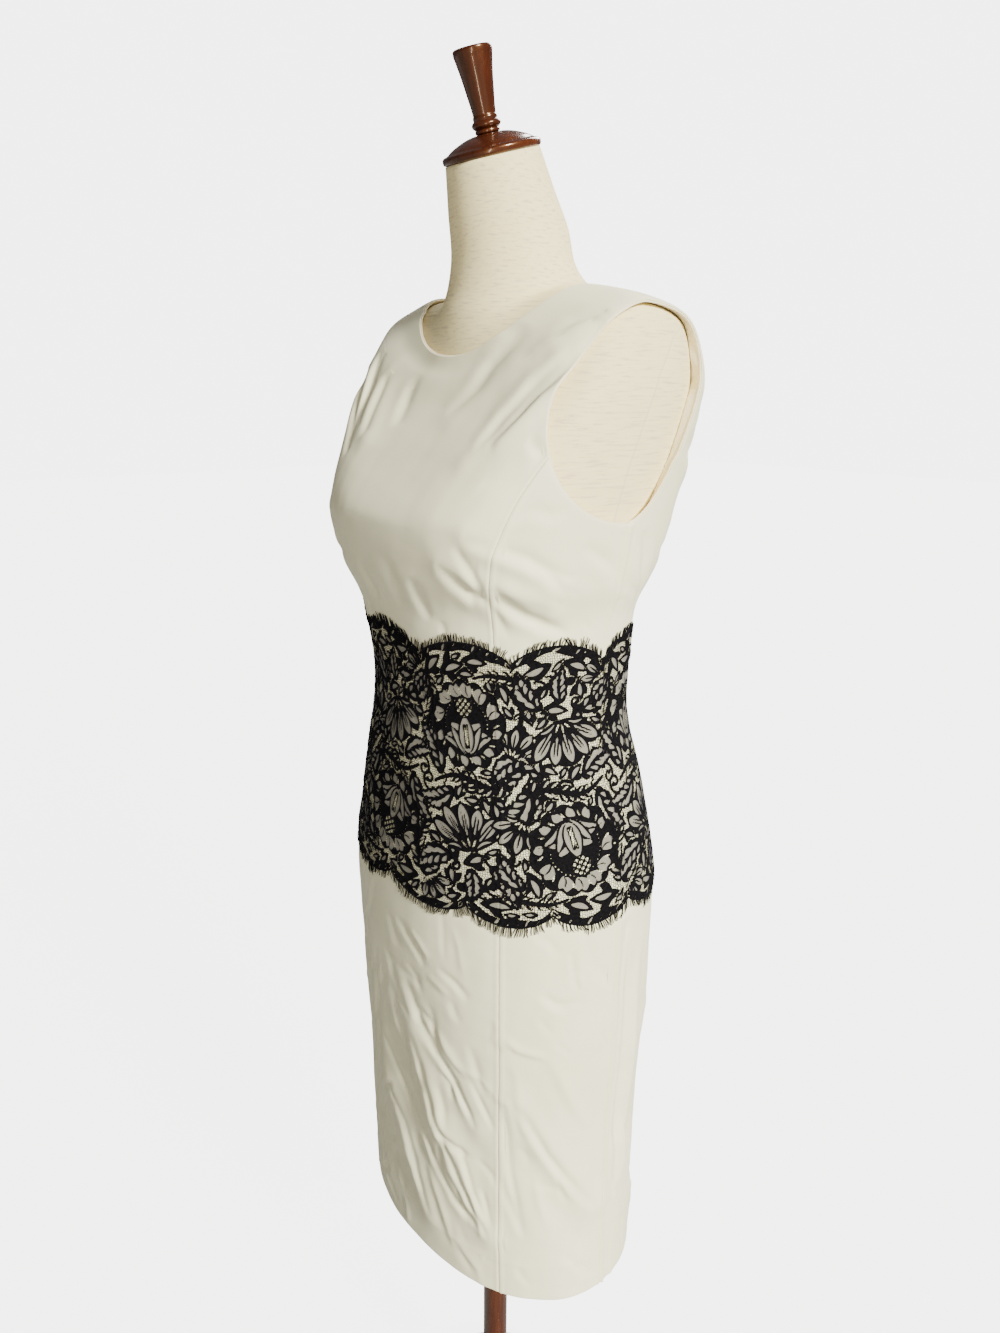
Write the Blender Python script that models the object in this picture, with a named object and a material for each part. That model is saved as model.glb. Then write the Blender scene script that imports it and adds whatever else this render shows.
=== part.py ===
"""Sleeveless sheath dress with a lace band at the waist, on a linen dress form and a round stand.

Metres, +Z up. The origin lies on the floor under the pole. The dress faces -Y, and its left side is +X.
A place on the cloth is an angle and a station. The angle is 0 at the centre front, 90 at the left side
seam and 180 at the centre back. The station counts the rings of DRESS_RINGS up from the hem, at 0.
"""

import math
from collections import namedtuple

import bmesh
import bpy
import numpy as np
from mathutils import Matrix, Vector

# Walls, and the gaps between pieces that touch
CLOTH_WALL = 0.0015
LINING_WALL = 0.0010
LACE_WALL = 0.0010
SEAM_GAP = 0.0003
FACING_GAP = 0.0017
LACE_STAND_OFF = 0.0010

# The outer face of the dress, a row for each level that the cut is drafted from
Ring = namedtuple(
    "Ring",
    "name side_z front_z back_z half_width front_depth back_depth centre_y roundness front_flat back_flat",
)
DRESS_RINGS = [
    Ring("hem", 0.408, 0.408, 0.408, 0.1700, 0.1130, 0.1170, 0.0000, 0.92, 0.00, 0.00),
    Ring("knee", 0.570, 0.570, 0.570, 0.1670, 0.1170, 0.1220, 0.0000, 0.92, 0.00, 0.00),
    Ring("thigh", 0.704, 0.704, 0.704, 0.1720, 0.1230, 0.1300, 0.0000, 0.92, 0.00, 0.00),
    Ring("hip", 0.824, 0.824, 0.824, 0.1720, 0.1270, 0.1340, 0.0000, 0.92, 0.00, 0.00),
    Ring("high_hip", 0.922, 0.922, 0.922, 0.1590, 0.1190, 0.1220, 0.0000, 0.92, 0.00, 0.02),
    Ring("waist", 1.019, 1.019, 1.019, 0.1365, 0.1120, 0.1035, 0.0000, 0.92, 0.00, 0.06),
    Ring("under_bust", 1.103, 1.100, 1.100, 0.1435, 0.1245, 0.1025, 0.0000, 0.92, 0.03, 0.08),
    Ring("bust", 1.144, 1.149, 1.140, 0.1560, 0.1460, 0.1160, 0.0000, 0.86, 0.08, 0.12),
    Ring("underarm", 1.193, 1.189, 1.188, 0.1635, 0.1545, 0.1395, 0.0000, 0.85, 0.09, 0.16),
    Ring("chest", 1.304, 1.243, 1.277, 0.1820, 0.1250, 0.1475, 0.0110, 0.87, 0.03, 0.17),
    Ring("shoulder_tip", 1.3635, 1.287, 1.3210, 0.1670, 0.0960, 0.1290, 0.0180, 0.87, 0.00, 0.15),
    Ring("shoulder_mid", 1.3765, 1.311, 1.3535, 0.1405, 0.0840, 0.0960, 0.0180, 0.92, 0.00, 0.09),
    Ring("neckline", 1.3845, 1.327, 1.3805, 0.0995, 0.0710, 0.0680, 0.0105, 0.94, 0.00, 0.00),
]
UNDER_BUST_STATION = 6.0
UNDERARM_STATION = 8.0
ARMHOLE_TOP_STATION = 10.32
NECKLINE_STATION = 12.0
SIDE_ANGLE = 90.0
CENTRE_BACK_ANGLE = 180.0

# The princess seam, from the hem up to the armhole
SeamPoint = namedtuple("SeamPoint", "station angle")
PRINCESS_SEAM = [
    SeamPoint(0.00, 40.0),
    SeamPoint(3.00, 42.0),
    SeamPoint(6.60, 44.0),
    SeamPoint(7.50, 46.0),
    SeamPoint(8.00, 49.5),
    SeamPoint(8.31, 51.7),
    SeamPoint(8.62, 56.5),
]
PRINCESS_TOP_STATION = 8.62

# The armhole swings this far to the front and the back of the side seam
ARMHOLE_FRONT_SWING = 40.0
ARMHOLE_FRONT_SKEW = 0.94
ARMHOLE_FRONT_FULLNESS = 0.74
ARMHOLE_BACK_SWING = 25.5
ARMHOLE_BACK_SKEW = 1.16
ARMHOLE_BACK_FULLNESS = 0.60

# Soft folds of the cloth: a ridge, or a trough where rise is below zero, between two places
Fold = namedtuple("Fold", "name angle_1 height_1 angle_2 height_2 rise spread")
FOLDS = [
    Fold("skirt_front_long_upper", 2, 0.690, 14, 0.586, 0.0026, 0.015),
    Fold("skirt_front_long_lower", 14, 0.586, 36, 0.474, 0.0032, 0.015),
    Fold("skirt_front_hollow", 22, 0.640, 34, 0.560, -0.0022, 0.018),
    Fold("skirt_front_short", 18, 0.672, 31, 0.602, 0.0022, 0.013),
    Fold("skirt_front_low", -12, 0.585, 8, 0.455, 0.0028, 0.015),
    Fold("skirt_front_low_hollow", -4, 0.640, 4, 0.520, -0.0022, 0.017),
    Fold("skirt_front_right", -20, 0.740, -17, 0.590, 0.0020, 0.016),
    Fold("skirt_front_right_low", -33, 0.560, -20, 0.440, 0.0024, 0.015),
    Fold("skirt_left_long", 48, 0.644, 86, 0.511, 0.0028, 0.016),
    Fold("skirt_left_hollow", 52, 0.575, 80, 0.470, -0.0020, 0.017),
    Fold("skirt_left_back", 100, 0.560, 124, 0.450, 0.0024, 0.016),
    Fold("skirt_right_long", -52, 0.660, -84, 0.530, 0.0026, 0.016),
    Fold("skirt_right_hollow", -60, 0.590, -82, 0.480, -0.0020, 0.018),
    Fold("skirt_right_back", -104, 0.600, -126, 0.470, 0.0024, 0.016),
    Fold("skirt_back_left", 168, 0.700, 148, 0.520, 0.0026, 0.017),
    Fold("skirt_back_left_hollow", 160, 0.740, 140, 0.600, -0.0018, 0.018),
    Fold("skirt_back_right", -158, 0.620, -142, 0.460, 0.0026, 0.016),
    Fold("bodice_left_drag", 50, 1.318, 25, 1.245, 0.0020, 0.012),
    Fold("bodice_neck_drag", 42, 1.345, 10, 1.280, 0.0016, 0.012),
    Fold("bodice_right_drag", -33, 1.315, -20, 1.255, 0.0016, 0.012),
    Fold("bust_left_drag", 36, 1.188, 70, 1.140, 0.0022, 0.011),
    Fold("under_bust_left_drag", 26, 1.160, 68, 1.118, 0.0020, 0.010),
    Fold("bust_right_drag", -38, 1.186, -70, 1.142, 0.0020, 0.011),
    Fold("back_left_drag", 122, 1.240, 158, 1.190, 0.0020, 0.014),
    Fold("back_right_drag", -126, 1.236, -154, 1.180, 0.0020, 0.014),
    Fold("back_lower_left", 132, 1.150, 166, 1.124, 0.0018, 0.011),
    Fold("back_lower_right", -130, 1.146, -168, 1.120, 0.0018, 0.011),
]
CLOTH_PER_DEGREE = 0.0026

# The mesh of the panels
SKIRT_ROWS = 24
BUST_ROWS = 6
FRONT_ARMHOLE_ROWS = 9
BACK_ARMHOLE_ROWS = 12
SHOULDER_ROWS = 4
FRONT_COLUMNS = 12
SIDE_FRONT_COLUMNS = 5
BACK_COLUMNS = 7
FRONT_CROWDING = 60.0
BACK_CROWDING = 1.25

# Facings
FACING_WIDTH = 0.026
FACING_SET_BACK = 0.0012
ARMHOLE_FACING_COLUMNS = 32
NECK_FACING_COLUMNS = 36

# The lace band: its edges run in scallops, at these heights where two scallops meet
Edge = namedtuple("Edge", "name notch_z scallops first_notch depth up strand_length")
LACE_TOP = Edge("top", 1.073, 9, 10.0, 0.018, 1, 0.0080)
LACE_BOTTOM = Edge("bottom", 0.8485, 11, -3.0, 0.014, -1, 0.0080)
SCALLOP_FULLNESS = 0.65
LACE_COLUMNS = 72
LACE_ROWS = 6
ZIP_HALF_GAP_ANGLE = 0.25
FRINGE_STRIP_HEIGHT = 0.0012
STRAND_WIDTH = 0.0009
STRAND_LEAN = 0.0026
STRAND_LIFT = 0.0008

# The form: how far its face lies inside the outer face of the dress
FORM_DEPTH = 0.0050
Hollow = namedtuple("Hollow", "name angle station angle_spread station_spread extra")
FORM_HOLLOWS = [
    Hollow("left_arm_plate", 90, 9.0, 30, 0.85, 0.0090),
    Hollow("right_arm_plate", -90, 9.0, 30, 0.85, 0.0090),
    Hollow("left_shoulder_blade", 140, 9.1, 26, 1.1, 0.0060),
    Hollow("right_shoulder_blade", -140, 9.1, 26, 1.1, 0.0060),
    Hollow("front_chest", 0, 9.2, 26, 0.9, 0.0030),
    Hollow("back_waist", 180, 5.2, 50, 0.9, 0.0050),
]
FORM_BOTTOM_Z = 0.780
FORM_COLUMNS = 32
FORM_STATION_STEP = 0.45
NeckRing = namedtuple("NeckRing", "name centre_y centre_z radius_x radius_y tilt")
NECK_RINGS = [
    NeckRing("root", 0.0075, 1.3850, 0.0660, 0.0625, 20),
    NeckRing("collar", 0.0082, 1.4000, 0.0590, 0.0570, 18),
    NeckRing("low", 0.0082, 1.4190, 0.0545, 0.0540, 16),
    NeckRing("mid", -0.0031, 1.4590, 0.0472, 0.0472, 16),
]
NECK_TOP = Vector((0.0, -0.0126, 1.4922))
NECK_TOP_RADIUS = 0.0414
NECK_LEAN = 16.0

# Turned wood: distance along the axis, and radius, from the lower end
TurnPoint = namedtuple("TurnPoint", "along radius")
CAP_PROFILE = [
    TurnPoint(0.0000, 0.0000),
    TurnPoint(0.0000, 0.0405),
    TurnPoint(0.0008, 0.0423),
    TurnPoint(0.0026, 0.0430),
    TurnPoint(0.0054, 0.0427),
    TurnPoint(0.0066, 0.0410),
    TurnPoint(0.0074, 0.0385),
    TurnPoint(0.0100, 0.0345),
    TurnPoint(0.0135, 0.0270),
    TurnPoint(0.0162, 0.0190),
    TurnPoint(0.0175, 0.0115),
    TurnPoint(0.0176, 0.0000),
]
FINIAL_PROFILE = [
    TurnPoint(0.0000, 0.0000),
    TurnPoint(0.0000, 0.0105),
    TurnPoint(0.0022, 0.0112),
    TurnPoint(0.0048, 0.0123),
    TurnPoint(0.0082, 0.0123),
    TurnPoint(0.0116, 0.0104),
    TurnPoint(0.0160, 0.0101),
    TurnPoint(0.0300, 0.0118),
    TurnPoint(0.0450, 0.0139),
    TurnPoint(0.0590, 0.0166),
    TurnPoint(0.0622, 0.0164),
    TurnPoint(0.0632, 0.0150),
    TurnPoint(0.0640, 0.0000),
]
POLE_RADIUS = 0.0140
BASE_RADIUS = 0.1450
BASE_TOP_Z = 0.0420
BASE_PROFILE = [
    TurnPoint(0.0000, 0.0000),
    TurnPoint(0.0000, BASE_RADIUS - 0.0030),
    TurnPoint(0.0030, BASE_RADIUS),
    TurnPoint(0.0140, BASE_RADIUS),
    TurnPoint(0.0185, BASE_RADIUS - 0.0030),
    TurnPoint(0.0215, BASE_RADIUS - 0.0130),
    TurnPoint(0.0235, 0.0800),
    TurnPoint(0.0270, 0.0420),
    TurnPoint(0.0330, 0.0280),
    TurnPoint(BASE_TOP_Z, 0.0230),
    TurnPoint(BASE_TOP_Z, 0.0000),
]
WOOD_SEGMENTS = 24
BASE_SEGMENTS = 40

# The zip's slider and tab. Along is down the back, across is +X, and height is off the cloth
ZIP_STATION = 11.70
SLIDER_WIDTH = 0.0060
SLIDER_THICKNESS = 0.0020
SLIDER_ABOVE_HINGE = 0.0065
SLIDER_BELOW_HINGE = 0.0026
BRIDGE_WIDTH = 0.0018
BRIDGE_HALF_LENGTH = 0.0025
BRIDGE_BAR = 0.0009
HINGE_HEIGHT = 0.0013
TUNNEL_HALF = 0.0015
TAB_THICKNESS = 0.0010
TAB_HEAD_WIDTH = 0.0054
TAB_WAIST_WIDTH = 0.0036
TAB_END_RADIUS = 0.0031
TAB_LENGTH = 0.0260
TAB_WINDOW_WIDTH = 0.0028
TAB_WINDOW_END = 0.0040
TAB_BAR_HALF = 0.0005
TAB_REST_TILT = 7.0

# Base colours, linear
Finish = namedtuple("Finish", "colour roughness metallic")
IVORY_CLOTH = Finish((0.88, 0.86, 0.77), 0.85, 0.0)
CREAM_LINING = Finish((0.87, 0.76, 0.58), 0.75, 0.0)
BLACK_LACE = Finish((0.010, 0.010, 0.012), 0.80, 0.0)
LINEN = Finish((0.70, 0.63, 0.52), 0.90, 0.0)
RED_BROWN_WOOD = Finish((0.16, 0.035, 0.012), 0.25, 0.0)
ZIP_METAL = Finish((0.80, 0.78, 0.72), 0.35, 0.8)


def clear_scene():
    for thing in list(bpy.data.objects):
        bpy.data.objects.remove(thing, do_unlink=True)


# ---- smooth curves through a table's rows ----


def end_slope(near_gap, far_gap, near_rate, far_rate):
    """Slope at the end of a monotone curve, one value for each column."""
    free = ((2 * near_gap + far_gap) * near_rate - near_gap * far_rate) / (near_gap + far_gap)
    free = np.where(free * near_rate <= 0, 0.0, free)
    too_steep = (near_rate * far_rate <= 0) & (abs(free) > 3 * abs(near_rate))
    return np.where(too_steep, 3 * near_rate, free)


def smooth_curve(places, values):
    """A function that runs smoothly through values at places, with no overshoot between rows."""
    places = np.asarray(places, float)
    values = np.asarray(values, float).reshape(len(places), -1)
    gaps = np.diff(places)[:, None]
    rates = np.diff(values, axis=0) / gaps
    slopes = np.zeros_like(values)
    weight_1 = 2 * gaps[1:] + gaps[:-1]
    weight_2 = gaps[1:] + 2 * gaps[:-1]
    with np.errstate(divide="ignore", invalid="ignore"):
        mean = (weight_1 + weight_2) / (weight_1 / rates[:-1] + weight_2 / rates[1:])
    slopes[1:-1] = np.where(rates[:-1] * rates[1:] > 0, mean, 0.0)
    slopes[0] = end_slope(gaps[0], gaps[1], rates[0], rates[1])
    slopes[-1] = end_slope(gaps[-1], gaps[-2], rates[-1], rates[-2])

    def curve(place):
        place = np.clip(np.asarray(place, float), places[0], places[-1])
        row = np.clip(np.searchsorted(places, place, side="right") - 1, 0, len(places) - 2)
        width = gaps[row, 0][..., None]
        part = (place - places[row])[..., None] / width
        rise = (3 - 2 * part) * part**2
        return (
            values[row] * (1 - rise)
            + values[row + 1] * rise
            + slopes[row] * width * part * (1 - part) ** 2
            - slopes[row + 1] * width * part**2 * (1 - part)
        )

    return curve


dress_ring_at = smooth_curve(range(len(DRESS_RINGS)), [ring[1:] for ring in DRESS_RINGS])
princess_curve = smooth_curve([p.station for p in PRINCESS_SEAM], [p.angle for p in PRINCESS_SEAM])


# ---- the face of the dress ----


def smooth_face(angle, station):
    """The outer face without its folds."""
    angle, station = np.broadcast_arrays(np.asarray(angle, float), np.asarray(station, float))
    ring = Ring("between", *np.moveaxis(dress_ring_at(station), -1, 0))
    sine = np.sin(np.radians(angle))
    cosine = np.cos(np.radians(angle))
    front = -ring.front_depth * (1 - ring.front_flat * cosine**4)
    rear = ring.back_depth * (1 - ring.back_flat * cosine**4)
    depth = np.where(cosine > 0, front, rear)
    end_z = np.where(cosine > 0, ring.front_z, ring.back_z)
    x = ring.half_width * np.sign(sine) * abs(sine) ** ring.roundness
    y = ring.centre_y + depth * abs(cosine) ** ring.roundness
    z = ring.side_z + (end_z - ring.side_z) * cosine**2
    return np.stack([x, y, z], -1)


def face_normal(angle, station):
    angle = np.asarray(angle, float)
    station = np.asarray(station, float)
    low = np.clip(station - 0.03, 0, NECKLINE_STATION)
    high = np.clip(station + 0.03, 0, NECKLINE_STATION)
    round_the_body = smooth_face(angle + 1.5, station) - smooth_face(angle - 1.5, station)
    up_the_body = smooth_face(angle, high) - smooth_face(angle, low)
    normal = np.cross(round_the_body, up_the_body)
    return normal / np.linalg.norm(normal, axis=-1, keepdims=True)


def fold_rise(angle, height):
    """How far the folds lift the cloth at an angle and a height."""
    total = np.zeros(np.broadcast(angle, height).shape)
    for fold in FOLDS:
        start = np.array([fold.angle_1 * CLOTH_PER_DEGREE, fold.height_1])
        run = np.array([fold.angle_2 * CLOTH_PER_DEGREE, fold.height_2]) - start
        across = (angle + 180.0) % 360.0 - 180.0
        place = np.stack(np.broadcast_arrays(across * CLOTH_PER_DEGREE, height), -1) - start
        part = np.clip(place @ run / (run @ run), 0, 1)
        away = np.linalg.norm(place - part[..., None] * run, axis=-1)
        total += fold.rise * np.exp(-((away / fold.spread) ** 2))
    return total


def cloth_face(angle, station, outward=0.0):
    """A point on the outer face with its folds, moved outward along the normal."""
    base = smooth_face(angle, station)
    lift = fold_rise(np.asarray(angle, float), base[..., 2]) + outward
    return base + face_normal(angle, station) * lift[..., None]


def station_at(angle, height):
    """The station at which the face reaches a height."""
    angle, height = np.broadcast_arrays(np.asarray(angle, float), np.asarray(height, float))
    low = np.zeros(height.shape)
    high = np.full(height.shape, NECKLINE_STATION)
    for _ in range(30):
        middle = (low + high) / 2
        under = smooth_face(angle, middle)[..., 2] < height
        low = np.where(under, middle, low)
        high = np.where(under, high, middle)
    return (low + high) / 2


def princess_angle(station):
    return princess_curve(station)[..., 0]


def armhole_swing(station, swing, skew, fullness):
    part = (np.asarray(station, float) - UNDERARM_STATION) / (ARMHOLE_TOP_STATION - UNDERARM_STATION)
    return swing * np.sin(math.pi * np.clip(part, 0, 1) ** skew).clip(0) ** fullness


def armhole_front_angle(station):
    swing = armhole_swing(station, ARMHOLE_FRONT_SWING, ARMHOLE_FRONT_SKEW, ARMHOLE_FRONT_FULLNESS)
    return SIDE_ANGLE - swing


def armhole_back_angle(station):
    swing = armhole_swing(station, ARMHOLE_BACK_SWING, ARMHOLE_BACK_SKEW, ARMHOLE_BACK_FULLNESS)
    return SIDE_ANGLE + swing


def armhole_station(turn):
    """Stations up the armhole, close together where its edge runs level. Turn is 0 to 180 degrees."""
    middle = (UNDERARM_STATION + ARMHOLE_TOP_STATION) / 2
    half = (ARMHOLE_TOP_STATION - UNDERARM_STATION) / 2
    return middle - half * np.cos(np.radians(turn))


def armhole_turn(station):
    middle = (UNDERARM_STATION + ARMHOLE_TOP_STATION) / 2
    half = (ARMHOLE_TOP_STATION - UNDERARM_STATION) / 2
    return math.degrees(math.acos((middle - station) / half))


def step_along(angle, station, angle_way, station_way, distance):
    """The place that lies a distance over the cloth from another, in a set direction."""
    start = smooth_face(angle, station)
    factor = np.full(np.shape(start)[:-1], 0.1)
    for _ in range(8):
        end = smooth_face(angle + angle_way * factor, np.clip(station + station_way * factor, 0, 12))
        factor = factor * distance / np.linalg.norm(end - start, axis=-1)
    return angle + angle_way * factor, station + station_way * factor


# ---- meshes ----


def make_object(name, bm, finish):
    bmesh.ops.recalc_face_normals(bm, faces=bm.faces)
    mesh = bpy.data.meshes.new(name)
    bm.to_mesh(mesh)
    bm.free()
    made = bpy.data.objects.new(name, mesh)
    bpy.context.scene.collection.objects.link(made)
    paint(made, finish)
    mesh.shade_smooth()
    mesh.set_sharp_from_angle(angle=math.radians(40))
    return made


def paint(made, finish):
    material = bpy.data.materials.new(made.name)
    material.use_nodes = True
    shader = material.node_tree.nodes["Principled BSDF"]
    shader.inputs["Base Color"].default_value = (*finish.colour, 1.0)
    shader.inputs["Roughness"].default_value = finish.roughness
    shader.inputs["Metallic"].default_value = finish.metallic
    made.data.materials.append(material)


def draw_in(outer, inner, distance, edges):
    """Moves a grid's first or last column in along the cloth, to leave half of a seam's gap."""
    for edge, neighbour in edges:
        way = outer[:, neighbour] - outer[:, edge]
        way /= np.linalg.norm(way, axis=-1, keepdims=True)
        outer[:, edge] += way * distance
        inner[:, edge] += way * distance


def add_wall(bm, outer, inner, closed=False):
    """A wall between two grids of points, with its rim. A closed wall's columns go all round."""
    rows, columns = outer.shape[:2]
    out = [[bm.verts.new(p) for p in row] for row in outer]
    back = [[bm.verts.new(p) for p in row] for row in inner]
    for r in range(rows - 1):
        for c in range(columns if closed else columns - 1):
            n = (c + 1) % columns
            bm.faces.new((out[r][c], out[r][n], out[r + 1][n], out[r + 1][c]))
            bm.faces.new((back[r][c], back[r + 1][c], back[r + 1][n], back[r][n]))
    for c in range(columns if closed else columns - 1):
        n = (c + 1) % columns
        bm.faces.new((out[0][c], back[0][c], back[0][n], out[0][n]))
        bm.faces.new((out[-1][c], out[-1][n], back[-1][n], back[-1][c]))
    if not closed:
        for r in range(rows - 1):
            bm.faces.new((out[r][0], out[r + 1][0], back[r + 1][0], back[r][0]))
            bm.faces.new((out[r][-1], back[r][-1], back[r + 1][-1], out[r + 1][-1]))
    return out, back


def cloth_piece(name, angles, stations, face_outward, wall, finish, closed=False, seams=()):
    """A piece of cloth over a grid of places. Its outer side lies face_outward off the dress's face."""
    outer = cloth_face(angles, stations, face_outward)
    inner = cloth_face(angles, stations, face_outward - wall)
    draw_in(outer, inner, SEAM_GAP / 2, seams)
    bm = bmesh.new()
    add_wall(bm, outer, inner, closed)
    return make_object(name, bm, finish)


# ---- the cut of the dress ----


def lower_stations():
    """Rows from the hem to the underarm."""
    heights = np.linspace(DRESS_RINGS[0].side_z, DRESS_RINGS[6].side_z, SKIRT_ROWS + 1)
    skirt = station_at(SIDE_ANGLE, heights)
    bust = np.linspace(UNDER_BUST_STATION, UNDERARM_STATION, BUST_ROWS + 1)
    return np.concatenate([skirt[:-1], bust])


def shoulder_stations():
    return np.linspace(ARMHOLE_TOP_STATION, NECKLINE_STATION, SHOULDER_ROWS + 1)


BOTH_SEAMS = ((0, 1), (-1, -2))


def front_centre():
    below = lower_stations() * PRINCESS_TOP_STATION / UNDERARM_STATION
    turns = np.linspace(armhole_turn(PRINCESS_TOP_STATION), 180, FRONT_ARMHOLE_ROWS + 1)
    above = armhole_station(turns)
    stations = np.concatenate([below, above[1:], shoulder_stations()[1:]])
    edge = np.where(
        stations <= PRINCESS_TOP_STATION, princess_angle(stations), armhole_front_angle(stations)
    )
    turns = np.radians(np.linspace(-FRONT_CROWDING, FRONT_CROWDING, FRONT_COLUMNS + 1))
    across = np.sin(turns) / np.sin(turns[-1])
    angles = edge[:, None] * across[None, :]
    stations = np.repeat(stations[:, None], FRONT_COLUMNS + 1, axis=1)
    return cloth_piece("front_centre", angles, stations, 0.0, CLOTH_WALL, IVORY_CLOTH, seams=BOTH_SEAMS)


def side_front(side, sign):
    turns = np.linspace(armhole_turn(PRINCESS_TOP_STATION), 0, SIDE_FRONT_COLUMNS + 1)
    top_stations = armhole_station(turns)
    top_angles = armhole_front_angle(top_stations)
    seam_angles = princess_angle(top_stations)
    across = (top_angles - seam_angles) / (SIDE_ANGLE - seam_angles)
    across[0] = 0.0
    stations = lower_stations()[:, None] / UNDERARM_STATION * top_stations[None, :]
    seam = princess_angle(stations)
    angles = seam + (SIDE_ANGLE - seam) * across[None, :]
    return panel_on_side("side_front_" + side, angles, stations, sign)


def back(side, sign):
    turns = np.linspace(0, 180, BACK_ARMHOLE_ROWS + 1)
    above = armhole_station(turns)
    stations = np.concatenate([lower_stations(), above[1:], shoulder_stations()[1:]])
    edge = armhole_back_angle(stations)
    across = np.linspace(0, 1, BACK_COLUMNS + 1) ** BACK_CROWDING
    angles = edge[:, None] + (CENTRE_BACK_ANGLE - edge[:, None]) * across[None, :]
    stations = np.repeat(stations[:, None], BACK_COLUMNS + 1, axis=1)
    return panel_on_side("back_" + side, angles, stations, sign)


def panel_on_side(name, angles, stations, sign):
    """A panel drawn for the left side, or its mirror image with the folds of its own side."""
    if sign < 0:
        angles = -angles[:, ::-1]
        stations = stations[:, ::-1]
    return cloth_piece(name, angles, stations, 0.0, CLOTH_WALL, IVORY_CLOTH, seams=BOTH_SEAMS)


def armhole_facing(side, sign):
    turns = np.linspace(0, 360, ARMHOLE_FACING_COLUMNS, endpoint=False)
    stations = armhole_station(np.where(turns > 180, 360 - turns, turns))
    edge = np.where(turns > 180, armhole_back_angle(stations), armhole_front_angle(stations))
    middle_station = (UNDERARM_STATION + ARMHOLE_TOP_STATION) / 2
    angle_way = (edge - SIDE_ANGLE) / ARMHOLE_FRONT_SWING
    station_way = stations - middle_station
    rows = [
        step_along(edge, stations, angle_way, station_way, distance)
        for distance in (FACING_SET_BACK, FACING_WIDTH / 2, FACING_WIDTH)
    ]
    angles = np.stack([row[0] for row in rows]) * sign
    stations = np.stack([row[1] for row in rows])
    face = -CLOTH_WALL - FACING_GAP
    name = "armhole_facing_" + side
    return cloth_piece(name, angles, stations, face, LINING_WALL, CREAM_LINING, closed=True)


def neck_facing():
    end = CENTRE_BACK_ANGLE - ZIP_HALF_GAP_ANGLE
    angles = np.linspace(-end, end, NECK_FACING_COLUMNS + 1)
    stations = np.full(angles.shape, NECKLINE_STATION)
    rows = [
        step_along(angles, stations, 0.0, -1.0, distance)
        for distance in (FACING_WIDTH, FACING_WIDTH / 2, FACING_SET_BACK)
    ]
    angles = np.stack([row[0] for row in rows])
    stations = np.stack([row[1] for row in rows])
    face = -CLOTH_WALL - FACING_GAP
    return cloth_piece("neck_facing", angles, stations, face, LINING_WALL, CREAM_LINING)


# ---- the lace ----


def lace_edge_height(angle, edge):
    """The height of a scalloped edge. Scallops bulge up on the top edge and down on the bottom one."""
    half_turns = np.radians(angle - edge.first_notch) * edge.scallops / 2
    return edge.notch_z + edge.up * edge.depth * abs(np.sin(half_turns)) ** SCALLOP_FULLNESS


def lace_columns():
    end = CENTRE_BACK_ANGLE - ZIP_HALF_GAP_ANGLE
    return np.linspace(-end, end, LACE_COLUMNS + 1)


def lace_band():
    columns = lace_columns()
    low = lace_edge_height(columns, LACE_BOTTOM)
    high = lace_edge_height(columns, LACE_TOP)
    up = np.linspace(0, 1, LACE_ROWS + 1)[:, None]
    heights = low * (1 - up) + high * up
    angles = np.repeat(columns[None, :], LACE_ROWS + 1, axis=0)
    stations = station_at(angles, heights)
    return cloth_piece("lace_band", angles, stations, LACE_STAND_OFF + LACE_WALL, LACE_WALL, BLACK_LACE)


def at_height(angle, height, outward):
    return cloth_face(angle, station_at(angle, height), outward)


def lace_fringe(edge):
    """Eyelash threads along one edge of the lace, on a strip just past that edge."""
    roots = lace_columns()
    root_width = STRAND_WIDTH / CLOTH_PER_DEGREE
    columns = np.append(np.stack([roots[:-1], roots[:-1] + root_width], 1).ravel(), roots[-1])
    near = np.interp(columns, roots, lace_edge_height(roots, edge)) + edge.up * SEAM_GAP
    far = near + edge.up * FRINGE_STRIP_HEIGHT
    angles = np.stack([columns, columns])
    heights = np.stack((near, far) if edge.up > 0 else (far, near))
    outer = at_height(angles, heights, LACE_STAND_OFF + LACE_WALL)
    inner = at_height(angles, heights, LACE_STAND_OFF)
    bm = bmesh.new()
    out, back = add_wall(bm, outer, inner)
    row = -1 if edge.up > 0 else 0
    for i in range(LACE_COLUMNS):
        c = 2 * i
        root = [out[row][c], out[row][c + 1], back[row][c + 1], back[row][c]]
        lean = STRAND_LEAN * math.sin(2.4 * i + edge.scallops)
        length = edge.strand_length * (1 + 0.22 * math.sin(1.7 * i + 1.0))
        tip_angle = roots[i] + (STRAND_WIDTH / 2 + lean) / CLOTH_PER_DEGREE
        tip_height = far[c] + edge.up * length
        tip = at_height(tip_angle, tip_height, LACE_STAND_OFF + LACE_WALL / 2 + STRAND_LIFT)
        old = next(f for f in root[0].link_faces if all(v in f.verts for v in root))
        bm.faces.remove(old)
        point = bm.verts.new(tip)
        for a, b in zip(root, root[1:] + root[:1]):
            bm.faces.new((a, b, point))
    return make_object("lace_fringe_" + edge.name, bm, BLACK_LACE)


# ---- the form and its stand ----


def form_depth(angle, station):
    """How far the form's face lies inside the face of the dress."""
    depth = np.full(np.broadcast(angle, station).shape, FORM_DEPTH)
    for hollow in FORM_HOLLOWS:
        across = (angle - hollow.angle + 180.0) % 360.0 - 180.0
        away = (across / hollow.angle_spread) ** 2 + ((station - hollow.station) / hollow.station_spread) ** 2
        depth = depth + hollow.extra * np.exp(-away)
    return depth


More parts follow.
